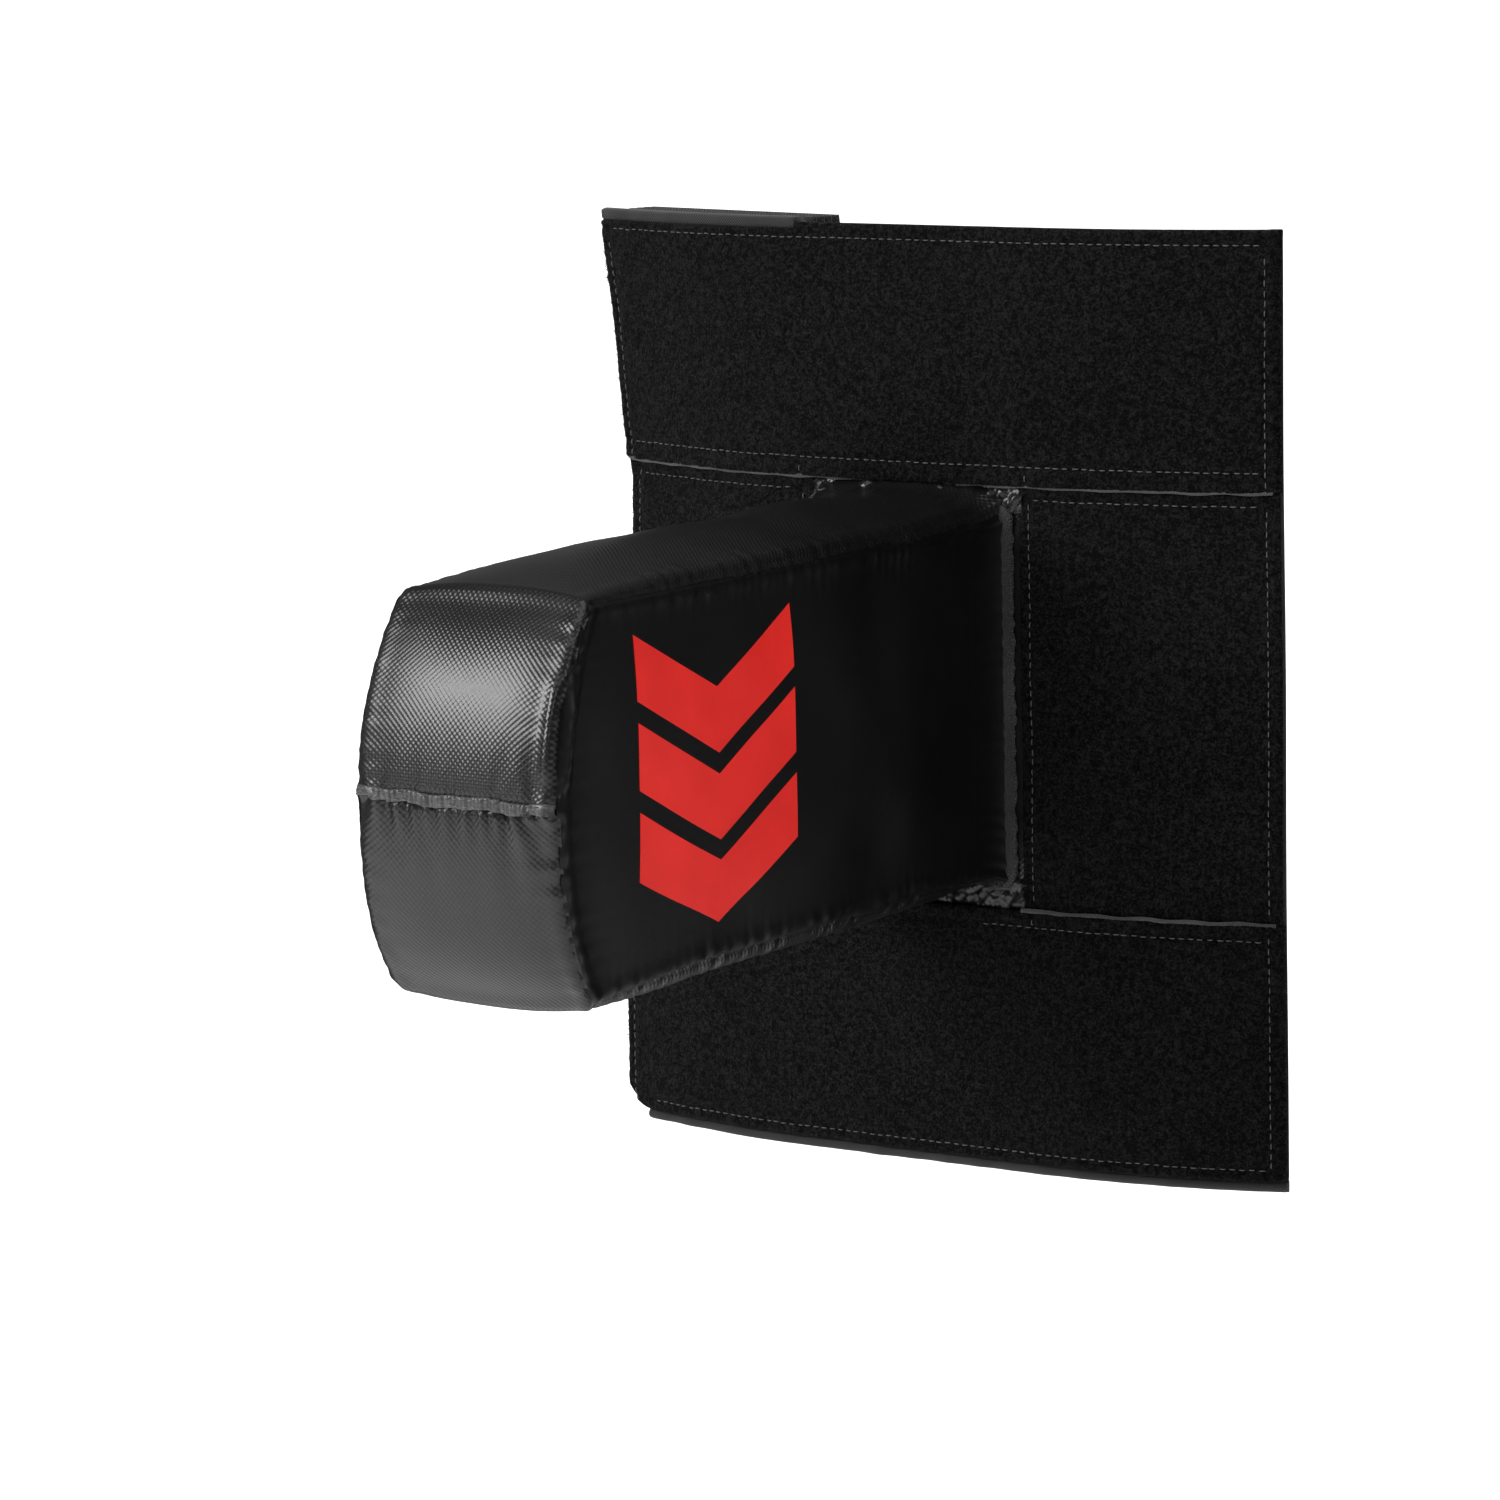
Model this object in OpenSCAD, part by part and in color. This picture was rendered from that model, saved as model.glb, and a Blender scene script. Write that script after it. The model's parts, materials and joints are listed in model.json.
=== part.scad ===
// Kick shield for a heavy bag: a padded striking arm on a soft wrap panel,
// with two closing belts folded up behind the panel's left wing.
// +Z is up, the arm points along -Y, and the origin is on the flat rear face of
// the panel's centre section, at mid-height.

/* [Wrap panel] */
// Height of the wrap panel, edge to edge
panel_h = 385; // [340:1:430]
// Width of the flat centre section that carries the arm
centre_w = 106; // [100:1:120]
// Length of each curved wing, measured round its rear face
wing_arc = 107; // [90:1:140]
// Free radius of the wings' rear face
wing_r = 300; // [220:5:500]
// Thickness of the rear lining cloth
lining_t = 1.5; // [0.8:0.1:2]
// Thickness of the foam sheet inside the panel
pad_t = 4; // [3:0.5:8]
// Thickness of the loop cloth on the middle panels
loop_t = 2; // [1:0.1:3]
// Thickness of the turned and doubled loop bands
band_t = 4; // [3:0.1:6]
// Height of the top loop band
top_band_h = 105; // [90:1:115]
// Height of the bottom loop band
bottom_band_h = 108.5; // [90:1:115]
// Height of the bound strip along the top and bottom edges
binding_h = 5; // [4:0.5:8]

/* [Arm] */
// Width of the arm
arm_w = 82; // [70:1:86]
// Height of the arm
arm_h = 144; // [120:1:146]
// Height of the arm's centre line above the panel's mid-height
arm_z = 2; // [0:0.5:6]
// Distance from the rear face to the arm's front corners
arm_reach = 295; // [240:1:340]
// How far the end face crowns past its corners
end_crown = 24; // [10:1:30]
// Thickness of the vinyl cover
cover_t = 1.1; // [0.8:0.1:1.6]
// Thickness of the soft foam layer on each side of the core
side_foam_t = 17; // [10:1:22]
// Thickness of the soft foam layers above and below the core
cap_foam_t = 20; // [12:1:26]
// Length of the soft foam block in front of the core
nose_foam_t = 34; // [24:1:45]

/* [Arm root] */
// Distance from the rear face to the centre of the arm's bend
bend_y = 22; // [21:0.5:24]
// Distance from the rear face to where the rigid part of the arm starts
arm_start = 38; // [37.5:0.5:44]
// Radius of the foam neck inside the root
neck_r = 8; // [5:0.5:8]
// Height of the foam neck
neck_h = 50; // [30:1:54]

/* [Belts] */
// Width of each closing belt
belt_w = 100; // [80:1:100]
// Thickness of a belt
belt_t = 1.7; // [1.2:0.1:2]
// Free space between two folded layers
belt_gap = 0.5; // [0.4:0.1:1]
// Length of one fold of a belt
fold_l = 106; // [90:1:106]
// Height of the top belt's upper edge above mid-height
top_belt_top = 191.5; // [190:0.5:192]
// Depth of the bottom belt's lower edge below mid-height
bottom_belt_low = 188; // [186:0.5:190]
// Length of the hook patch on a belt's last fold
hook_l = 78; // [50:1:90]
// Thickness of the hook patch
hook_t = 1.4; // [0.8:0.1:2]

/* [Aim mark] */
// Width of the printed aim mark
mark_w = 104; // [60:1:110]
// Height of one chevron stroke, measured vertically
mark_stroke = 25; // [16:1:28]
// Thickness of the print
mark_t = 0.4; // [0.2:0.1:0.6]

/* [Hidden] */
FOLDS = 8;
$fn = 96;

fit = 0.1;                          // gap between curved layers of one body
seam_gap = 2;                       // crease between the centre section and a wing
half_w = centre_w / 2;
half_h = panel_h / 2;
wing_angle = wing_arc / wing_r * 180 / PI;
crease_angle = seam_gap / wing_r * 180 / PI;

// Depths of the layers, counted forwards from the rear face
pad_d = lining_t + pad_t;
mid_d = pad_d + loop_t;
band_d = pad_d + band_t;
top_z = half_h - binding_h;         // top of the cloth layers, under the binding
low_z = -top_z;
top_fold_z = half_h - top_band_h;   // lower edge of the top band
low_fold_z = bottom_band_h - half_h;

// Arm
end_rise = arm_h / 2;
end_r = (end_rise * end_rise + end_crown * end_crown) / (2 * end_crown);
end_centre = arm_reach + end_crown - end_r;
in_x = arm_w / 2 - cover_t;         // inner face of the side covers
core_x = in_x - side_foam_t;
core_z = arm_h / 2 - cover_t - cap_foam_t;
core_end = arm_reach - nose_foam_t;
foam_fit = 0.3;
strip_h = 10;                       // height of the lapped seam across the end
mark_reach = 217;                   // distance from the rear face to the mark's middle
mark_pitch = 33;                    // vertical distance between chevrons
mark_drop = 26;                     // how far a chevron's point hangs below its wings
mark_rows = 3;

// Belts, in the plane of the folded stack
pitch = belt_t + belt_gap;
end_gap = 0.8;                      // space between a fold's end and its hinge line
anchor_t = 3;
anchor_arc = 14;
anchor_angle = anchor_arc / wing_r * 180 / PI;
hinge_r = wing_r - anchor_t - 2 * fit;
hinge_x = half_w + hinge_r * sin(wing_angle);
hinge_y = wing_r - hinge_r * cos(wing_angle);
stack_angle = atan(wing_r * (1 - cos(wing_angle)) / (wing_r * sin(wing_angle)));

cloth = [0.05, 0.05, 0.055];
lining_colour = [0.16, 0.16, 0.17];
foam_colour = [0.55, 0.56, 0.58];
vinyl = [0.09, 0.09, 0.1];
strap = [0.12, 0.12, 0.13];
mark_red = [0.8, 0.13, 0.11];

// A plate of the flat centre section, between two depths and two heights
module centre_plate(d0, d1, z0, z1) {
    translate([-half_w, -d1, z0])
        cube([centre_w, d1 - d0, z1 - z0]);
}

// A layer of a curved wing: side is 1 for the right wing and -1 for the left
module wing_layer(side, d0, d1, z0, z1) {
    mirror([side < 0 ? 1 : 0, 0, 0])
        translate([half_w, wing_r, z0])
            rotate([0, 0, crease_angle - 90])
                rotate_extrude(angle = wing_angle - crease_angle, $fn = 360)
                    translate([wing_r + d0, 0])
                        square([d1 - d0, z1 - z0]);
}

module lining(side) {
    color(lining_colour)
        if (side == 0) centre_plate(0, lining_t, low_z, top_z);
        else wing_layer(side, 0, lining_t, low_z, top_z);
}

module pad(side) {
    color(foam_colour)
        if (side == 0) centre_plate(lining_t, pad_d, low_z, top_z);
        else wing_layer(side, lining_t + fit, pad_d, low_z, top_z);
}

module top_band(side) {
    color(cloth)
        if (side == 0) centre_plate(pad_d, band_d, top_fold_z, top_z);
        else wing_layer(side, pad_d + fit, band_d, top_fold_z, top_z);
}

module bottom_band(side) {
    color(cloth)
        if (side == 0) centre_plate(pad_d, band_d, low_z, low_fold_z);
        else wing_layer(side, pad_d + fit, band_d, low_z, low_fold_z);
}

module mid_panel(side) {
    color(cloth * 1.3)
        wing_layer(side, pad_d + fit, mid_d, low_fold_z + fit, top_fold_z - fit);
}

module binding(side, z0) {
    color(strap)
        if (side == 0) centre_plate(0, band_d, z0, z0 + binding_h - fit);
        else wing_layer(side, 0, band_d, z0, z0 + binding_h - fit);
}

// Vinyl rectangle that closes the middle of the panel behind the arm
module root_flange() {
    color(vinyl)
        centre_plate(pad_d, pad_d + cover_t, low_fold_z + fit, top_fold_z - fit);
}

// Frame seen from the front: an outer and an inner rectangle about the arm's centre
module arm_frame(y0, y1, outer_w, outer_h, wall) {
    translate([0, -y0, arm_z])
        rotate([90, 0, 0])
            linear_extrude(y1 - y0)
                difference() {
                    square([outer_w, outer_h], center = true);
                    square([outer_w - 2 * wall, outer_h - 2 * wall], center = true);
                }
}

// Turned seam where the arm's cover is sewn to the flange
module root_binding() {
    ridge = 4;
    color(strap)
        arm_frame(pad_d + cover_t + fit, band_d - foam_fit, arm_w + 2 * ridge, arm_h + 2 * ridge, ridge);
}

// Loose vinyl between the flange and the rigid part of the arm; it creases as the arm bends
module root_skirt() {
    color(vinyl)
        arm_frame(band_d + fit, arm_start - foam_fit, arm_w, arm_h, 2);
}

module neck_foam() {
    color(foam_colour)
        translate([0, -bend_y, arm_z - neck_h / 2])
            cylinder(r = neck_r, h = neck_h);
}

// Side outline of the arm, drawn as depth from the rear face against height,
// pulled in by the given distance
module arm_outline(inset) {
    intersection() {
        translate([arm_start, -arm_h / 2 + inset])
            square([arm_reach + end_crown, arm_h - 2 * inset]);
        translate([end_centre, 0])
            circle(r = end_r - inset, $fn = 180);
    }
    translate([arm_start, -arm_h / 2 + inset])
        square([end_centre - arm_start, arm_h - 2 * inset]);
}

// Stands a side outline up between two widths
module across(x0, x1) {
    translate([x0, 0, arm_z])
        rotate([90, 0, -90])
            mirror([0, 0, 1])
                linear_extrude(x1 - x0)
                    children();
}

module foam_core() {
    color(foam_colour * 0.8)
        translate([-core_x, -core_end, arm_z - core_z])
            cube([2 * core_x, core_end - arm_start, 2 * core_z]);
}

module side_foam(x0) {
    color(foam_colour)
        across(x0, x0 + side_foam_t - foam_fit)
            arm_outline(cover_t + foam_fit);
}

module cap_foam(z0) {
    color(foam_colour)
        across(-core_x, core_x)
            intersection() {
                arm_outline(cover_t + foam_fit);
                translate([arm_start, z0])
                    square([core_end - arm_start, cap_foam_t - foam_fit]);
            }
}

module foam_nose() {
    color(foam_colour)
        across(-core_x, core_x)
            intersection() {
                arm_outline(cover_t + foam_fit);
                translate([core_end + foam_fit, -arm_h / 2])
                    square([nose_foam_t + end_crown, arm_h]);
            }
}

module cover_side(x0) {
    color(vinyl)
        across(x0, x0 + cover_t)
            arm_outline(0);
}

// Vinyl strip over the top or bottom of the arm that runs on round half of the end
module gusset(z0, z1) {
    color(vinyl * 1.6)
        across(-in_x + fit, in_x - fit)
            intersection() {
                difference() {
                    arm_outline(0);
                    arm_outline(cover_t);
                    translate([0, -arm_h / 2 + cover_t])
                        square([arm_start + 1, arm_h - 2 * cover_t]);
                }
                translate([0, z0])
                    square([arm_reach + end_crown + 1, z1 - z0]);
            }
}

module end_seam_strip() {
    color(strap)
        across(-in_x, in_x)
            intersection() {
                difference() {
                    translate([end_centre, 0])
                        circle(r = end_r + cover_t + fit, $fn = 180);
                    translate([end_centre, 0])
                        circle(r = end_r + fit, $fn = 180);
                }
                translate([end_centre, -strip_h / 2])
                    square([end_r + 2, strip_h]);
            }
}

// Three solid chevrons pointing down
module aim_mark() {
    chevron = [
        [-mark_w / 2, 0], [0, -mark_drop], [mark_w / 2, 0],
        [mark_w / 2, mark_stroke], [0, mark_stroke - mark_drop], [-mark_w / 2, mark_stroke]
    ];
    rise = (mark_rows - 1) * mark_pitch + mark_stroke - mark_drop;
    color(mark_red)
        across(arm_w / 2 + fit, arm_w / 2 + fit + mark_t)
            for (k = [0:mark_rows - 1])
                translate([mark_reach, k * mark_pitch - rise / 2])
                    polygon(chevron);
}

// Sewn tab at the left edge that a belt is stitched to
module belt_anchor(z0) {
    color(strap)
        mirror([1, 0, 0])
            translate([half_w, wing_r, z0])
                rotate([0, 0, wing_angle - anchor_angle - 90])
                    rotate_extrude(angle = anchor_angle, $fn = 360)
                        translate([wing_r - anchor_t - fit, 0])
                            square([anchor_t, belt_w]);
}

// Places a child in the folded stack's plane: x towards the panel's centre, y backwards
module in_stack(z0) {
    translate([-hinge_x, hinge_y, z0])
        rotate([0, 0, -stack_angle])
            children();
}

// One fold of a belt; fold 1 is sewn to the anchor and the last carries the hook patch
module belt_fold(k, z0) {
    color(strap * (1 + 0.25 * (k % 2)))
        in_stack(z0)
            translate([end_gap, (k - 1) * pitch + belt_gap / 2, 0])
                cube([fold_l - 2 * end_gap, belt_t, belt_w]);
}

module hook_patch(z0) {
    margin = 6;
    color(cloth)
        in_stack(z0)
            translate([margin, FOLDS * pitch - belt_gap / 2 + fit / 2, margin])
                cube([hook_l, hook_t, belt_w - 2 * margin]);
}

top_belt_z = top_belt_top - belt_w;
bottom_belt_z = -bottom_belt_low;

lining(0);  // centre_lining
pad(0);  // centre_pad
top_band(0);  // centre_top_band
bottom_band(0);  // centre_bottom_band
binding(0, top_z + fit);  // centre_top_binding
binding(0, -half_h);  // centre_bottom_binding
root_flange();
root_binding();
lining(-1);  // left_lining
pad(-1);  // left_pad
top_band(-1);  // left_top_band
mid_panel(-1);  // left_mid_panel
bottom_band(-1);  // left_bottom_band
binding(-1, top_z + fit);  // left_top_binding
binding(-1, -half_h);  // left_bottom_binding
belt_anchor(top_belt_z);  // top_belt_anchor
belt_anchor(bottom_belt_z);  // bottom_belt_anchor
lining(1);  // right_lining
pad(1);  // right_pad
top_band(1);  // right_top_band
mid_panel(1);  // right_mid_panel
bottom_band(1);  // right_bottom_band
binding(1, top_z + fit);  // right_top_binding
binding(1, -half_h);  // right_bottom_binding
neck_foam();
root_skirt();
foam_core();
side_foam(-in_x + foam_fit);  // foam_left
side_foam(core_x);  // foam_right
cap_foam(core_z + foam_fit);  // foam_top
cap_foam(-core_z - cap_foam_t);  // foam_bottom
foam_nose();
cover_side(-arm_w / 2);  // cover_side_left
cover_side(in_x);  // cover_side_right
gusset(fit, arm_h / 2);  // upper_gusset
gusset(-arm_h / 2, -fit);  // lower_gusset
end_seam_strip();
aim_mark();
for (k = [1:FOLDS]) belt_fold(k, top_belt_z);
for (k = [1:FOLDS]) belt_fold(k, bottom_belt_z);
hook_patch(top_belt_z);  // top_hook_patch
hook_patch(bottom_belt_z);  // bottom_hook_patch
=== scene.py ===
import json
import math
import bpy
import numpy as np
from mathutils import Matrix, Vector


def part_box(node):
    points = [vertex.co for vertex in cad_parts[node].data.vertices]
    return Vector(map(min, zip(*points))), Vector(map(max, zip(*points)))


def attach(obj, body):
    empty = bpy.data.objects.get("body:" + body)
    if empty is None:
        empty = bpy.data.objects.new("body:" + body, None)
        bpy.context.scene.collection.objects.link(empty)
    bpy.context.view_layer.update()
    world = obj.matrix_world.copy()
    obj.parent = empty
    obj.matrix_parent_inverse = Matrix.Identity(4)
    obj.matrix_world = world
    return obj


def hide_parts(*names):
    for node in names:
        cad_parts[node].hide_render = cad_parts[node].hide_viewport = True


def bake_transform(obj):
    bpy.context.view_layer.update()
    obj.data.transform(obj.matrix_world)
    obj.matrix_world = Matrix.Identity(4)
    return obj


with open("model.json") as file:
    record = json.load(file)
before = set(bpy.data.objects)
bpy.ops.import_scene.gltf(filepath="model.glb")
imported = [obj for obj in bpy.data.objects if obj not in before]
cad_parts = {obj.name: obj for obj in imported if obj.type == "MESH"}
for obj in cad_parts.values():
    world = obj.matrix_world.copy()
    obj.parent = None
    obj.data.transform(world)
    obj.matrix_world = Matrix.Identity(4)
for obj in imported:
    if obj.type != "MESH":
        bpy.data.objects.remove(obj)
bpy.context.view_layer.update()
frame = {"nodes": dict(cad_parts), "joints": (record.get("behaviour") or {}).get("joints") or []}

# shared helpers

mm = 0.001
sharpAngle = 55


def smooth(x):
    x = np.clip(x, 0, 1)
    return x * x * (3 - 2 * x)


def waves1(t, length, seed, count=9):
    rng = np.random.default_rng(seed)
    rate = rng.uniform(0.55, 1.7, count) * 2 * math.pi / length
    phase = rng.uniform(0, 2 * math.pi, count)
    return sum(np.sin(t * r + p) for r, p in zip(rate, phase)) / math.sqrt(count)


def waves2(a, b, length, seed, count=14):
    rng = np.random.default_rng(seed)
    total = 0
    for angle, rate, phase in zip(rng.uniform(0, math.pi, count), rng.uniform(0.6, 1.6, count),
                                  rng.uniform(0, 2 * math.pi, count)):
        k = rate * 2 * math.pi / length
        total = total + np.sin(k * (a * math.cos(angle) + b * math.sin(angle)) + phase)
    return total / math.sqrt(count)


def boxOf(node):
    low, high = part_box(node)
    return np.array(low), np.array(high)


def addMesh(name, points, faces, materials, uvs=None, slots=None):
    # faces are lists of corner numbers; uvs has one pair for each point
    mesh = bpy.data.meshes.new(name)
    mesh.from_pydata(np.asarray(points, float).tolist(), [], [list(map(int, f)) for f in faces])
    for material in materials if isinstance(materials, (list, tuple)) else [materials]:
        mesh.materials.append(material)
    if uvs is not None:
        layer = mesh.uv_layers.new(name="cloth")
        corner = np.zeros(len(mesh.loops), np.int32)
        mesh.loops.foreach_get("vertex_index", corner)
        layer.data.foreach_set("uv", np.asarray(uvs, np.float32)[corner].ravel())
    if slots is not None:
        mesh.polygons.foreach_set("material_index", np.asarray(slots, np.int32))
    mesh.polygons.foreach_set("use_smooth", np.ones(len(mesh.polygons), bool))
    mesh.set_sharp_from_angle(angle=math.radians(sharpAngle))
    mesh.update()
    obj = bpy.data.objects.new(name, mesh)
    bpy.context.scene.collection.objects.link(obj)
    return obj


def gridFaces(rows, columns, flip=False, start=0, wrap=False):
    # quads over a rows x columns block of points; wrap closes the columns into a tube
    last = columns if wrap else columns - 1
    r, c = np.meshgrid(np.arange(rows - 1), np.arange(last), indexing="ij")
    right = (c + 1) % columns
    near, far = r * columns, (r + 1) * columns
    quads = np.stack([near + c, far + c, far + right, near + right], -1).reshape(-1, 4) + start
    return quads[:, ::-1] if flip else quads


def gridNormals(points, flip=False):
    du = np.gradient(points, axis=0)
    dv = np.gradient(points, axis=1)
    n = np.cross(du, dv)
    n /= np.maximum(np.linalg.norm(n, axis=-1, keepdims=True), 1e-12)
    return -n if flip else n


def refine(points, times, axis):
    # Catmull-Rom curve through the rows of a grid
    p = np.moveaxis(points, axis, 0)
    n = len(p)
    p = np.concatenate([2 * p[:1] - p[1:2], p, 2 * p[-1:] - p[-2:-1]])
    t = np.arange((n - 1) * times + 1) / times
    i = np.minimum(t.astype(int), n - 2)
    f = (t - i).reshape([-1] + [1] * (p.ndim - 1))
    a, b, c, d = p[i], p[i + 1], p[i + 2], p[i + 3]
    out = 0.5 * (2 * b + (c - a) * f + (2 * a - 5 * b + 4 * c - d) * f**2 + (3 * b - a - 3 * c + d) * f**3)
    return np.moveaxis(out, 0, axis)


def sampleGrid(grid, u, v):
    # bilinear reading of a grid at fractional rows u and columns v
    i = np.clip(u.astype(int), 0, grid.shape[0] - 2)
    j = np.clip(v.astype(int), 0, grid.shape[1] - 2)
    a, b = (u - i)[..., None], (v - j)[..., None]
    near = grid[i, j] * (1 - a) + grid[i + 1, j] * a
    far = grid[i, j + 1] * (1 - a) + grid[i + 1, j + 1] * a
    return near * (1 - b) + far * b


# materials


class Recipe:
    # a node material with a few short words for what repeats
    def __init__(self, name):
        self.material = bpy.data.materials.new(name)
        self.material.use_nodes = True
        self.tree = self.material.node_tree
        self.shader = self.tree.nodes["Principled BSDF"]
        self.coords = self.tree.nodes.new("ShaderNodeTexCoord")

    def put(self, socket, value):
        self.shader.inputs[socket].default_value = value

    def wire(self, source, target):
        self.tree.links.new(source, target)

    def node(self, kind, links=(), **values):
        made = self.tree.nodes.new(kind)
        for key, value in values.items():
            setattr(made, key, value)
        for index, source in links:
            if hasattr(source, "links"):
                self.wire(source, made.inputs[index])
            else:
                made.inputs[index].default_value = source
        return made

    def math(self, operation, a, b=0.0):
        return self.node("ShaderNodeMath", [(0, a), (1, b)], operation=operation).outputs[0]

    def noise(self, scale, detail=4.0, roughness=0.6, where="Object"):
        return self.node("ShaderNodeTexNoise", [("Vector", self.coords.outputs[where]), ("Scale", scale),
                                                ("Detail", detail), ("Roughness", roughness)]).outputs["Fac"]

    def cells(self, scale, where="Object"):
        return self.node("ShaderNodeTexVoronoi", [("Vector", self.coords.outputs[where]),
                                                  ("Scale", scale)]).outputs["Distance"]

    def ramp(self, source, low, high, lowColour, highColour):
        made = self.node("ShaderNodeValToRGB", [(0, source)])
        first, second = made.color_ramp.elements
        first.position, first.color = low, (*lowColour, 1)
        second.position, second.color = high, (*highColour, 1)
        return made.outputs[0]

    def span(self, source, low, high):
        made = self.node("ShaderNodeMapRange", [("Value", source), ("To Min", low), ("To Max", high)])
        return made.outputs[0]

    def bump(self, height, distance, strength=1.0, under=None):
        links = [("Height", height), ("Distance", distance), ("Strength", strength)]
        if under is not None:
            links.append(("Normal", under))
        return self.node("ShaderNodeBump", links).outputs[0]

    def finish(self, colour=None, roughness=None, normal=None):
        if colour is not None:
            self.wire(colour, self.shader.inputs["Base Color"])
        if roughness is not None:
            self.wire(roughness, self.shader.inputs["Roughness"])
        if normal is not None:
            self.wire(normal, self.shader.inputs["Normal"])
        return self.material


loopLook = dict(dark=(0.0004, 0.0004, 0.00045), light=(0.0122, 0.0122, 0.0125), clump=430, curl=1050,
                depth=1.1 * mm, sheen=0.02, sheenRoughness=0.4, specular=0.06)


def loopClothMaterial():
    r = Recipe("loopCloth")
    clumps = r.noise(loopLook["clump"], 5, 0.72)
    curls = r.cells(loopLook["curl"])
    mix = r.math("MULTIPLY", clumps, r.span(curls, 1.25, 0.55))
    wear = r.noise(14, 3, 0.5)
    tint = r.math("ADD", mix, r.span(wear, -0.05, 0.05))
    # the colour follows the bump's height: loop tops lighter and the hollows between them darker, painted
    # shade laid over the pile's random tone
    colour = r.ramp(tint, 0.36, 0.68, loopLook["dark"], loopLook["light"])
    r.put("Sheen Weight", loopLook["sheen"])
    r.put("Sheen Roughness", loopLook["sheenRoughness"])
    r.put("Specular IOR Level", loopLook["specular"])
    normal = r.bump(mix, loopLook["depth"])
    return r.finish(colour, r.span(clumps, 0.8, 1.0), normal)


scrimLook = dict(pitch=1.6 * mm, depth=0.055 * mm, colour=(0.0035, 0.0035, 0.0037), low=0.24, high=0.34,
                 specular=0.4, worn=1.5)


def scrimVinylMaterial():
    r = Recipe("scrimVinyl")
    split = r.node("ShaderNodeSeparateXYZ", [(0, r.coords.outputs["UV"])])
    across, along = split.outputs[0], split.outputs[1]
    turn = 2 * math.pi / scrimLook["pitch"]
    warp = r.math("COSINE", r.math("MULTIPLY", r.math("ADD", across, along), turn * math.sqrt(0.5)))
    weft = r.math("COSINE", r.math("MULTIPLY", r.math("SUBTRACT", across, along), turn * math.sqrt(0.5)))
    threads = r.math("ADD", warp, weft)
    grain = r.noise(900, 3, 0.6)
    weave = r.bump(threads, scrimLook["depth"] * 0.5)
    normal = r.bump(grain, 0.05 * mm, 0.5, weave)
    smudge = r.noise(28, 5, 0.6)
    worn = tuple(scrimLook["worn"] * c for c in scrimLook["colour"])
    colour = r.ramp(smudge, 0.3, 0.7, scrimLook["colour"], worn)
    r.put("Specular IOR Level", scrimLook["specular"])
    return r.finish(colour, r.span(smudge, scrimLook["low"], scrimLook["high"]), normal)


sideLook = dict(colour=(0.0024, 0.0024, 0.0026), low=0.3, high=0.42, specular=0.19, worn=1.45)


def sideVinylMaterial():
    r = Recipe("sideVinyl")
    grain = r.cells(1500)
    fine = r.noise(2200, 2, 0.5)
    normal = r.bump(r.math("ADD", grain, fine), 0.03 * mm, 0.8)
    smudge = r.noise(20, 5, 0.62)
    worn = tuple(sideLook["worn"] * c for c in sideLook["colour"])
    colour = r.ramp(smudge, 0.3, 0.7, sideLook["colour"], worn)
    r.put("Specular IOR Level", sideLook["specular"])
    return r.finish(colour, r.span(smudge, sideLook["low"], sideLook["high"]), normal)


def wovenMaterial(name, colour, pitch, depth, roughness=0.8, where="Object", sheen=0.1):
    # plain weave: two crossing sets of threads and a little fuzz
    r = Recipe(name)
    split = r.node("ShaderNodeSeparateXYZ", [(0, r.coords.outputs[where])])
    turn = 2 * math.pi / pitch
    warp = r.math("SINE", r.math("MULTIPLY", split.outputs[0], turn))
    weft = r.math("SINE", r.math("MULTIPLY", split.outputs[2 if where == "Object" else 1], turn))
    weave = r.math("MULTIPLY", warp, weft)
    fuzz = r.noise(1300, 3, 0.7)
    normal = r.bump(fuzz, depth * 0.6, 0.7, r.bump(weave, depth))
    shade = r.math("ADD", r.noise(30, 4, 0.6), r.span(weave, -0.12, 0.12))
    tone = r.ramp(shade, 0.3, 0.75, tuple(0.6 * c for c in colour), tuple(1.4 * c for c in colour))
    r.put("Sheen Weight", sheen)
    r.put("Specular IOR Level", 0.3)
    return r.finish(tone, r.span(fuzz, roughness - 0.1, roughness + 0.1), normal)


def threadMaterial(name, colour):
    r = Recipe(name)
    twist = r.noise(3200, 2, 0.5)
    tone = r.ramp(r.noise(60, 4, 0.7), 0.3, 0.72, tuple(0.45 * c for c in colour), colour)
    r.put("Sheen Weight", 0.15)
    return r.finish(tone, r.span(twist, 0.55, 0.8), r.bump(twist, 0.1 * mm))


def foamMaterial(name, colour, cell):
    r = Recipe(name)
    pores = r.cells(cell)
    tone = r.ramp(r.math("ADD", pores, r.noise(40, 3, 0.6)), 0.4, 1.3, tuple(0.7 * c for c in colour), colour)
    return r.finish(tone, r.span(pores, 0.85, 1.0), r.bump(pores, 0.4 * mm))


def hookTapeMaterial():
    r = Recipe("hookTape")
    hooks = r.cells(760)
    tone = r.ramp(hooks, 0.1, 0.6, (0.03, 0.03, 0.031), (0.006, 0.006, 0.006))
    return r.finish(tone, r.span(hooks, 0.35, 0.6), r.bump(hooks, -0.9 * mm))


def markMaterial():
    r = Recipe("markPrint")
    smudge = r.noise(35, 5, 0.6)
    grain = r.noise(1800, 2, 0.5)
    tone = r.ramp(smudge, 0.3, 0.7, (0.66, 0.011, 0.008), (0.77, 0.016, 0.010))
    r.put("Specular IOR Level", 0.35)
    return r.finish(tone, r.span(smudge, 0.38, 0.5), r.bump(grain, 0.03 * mm, 0.8))


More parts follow.
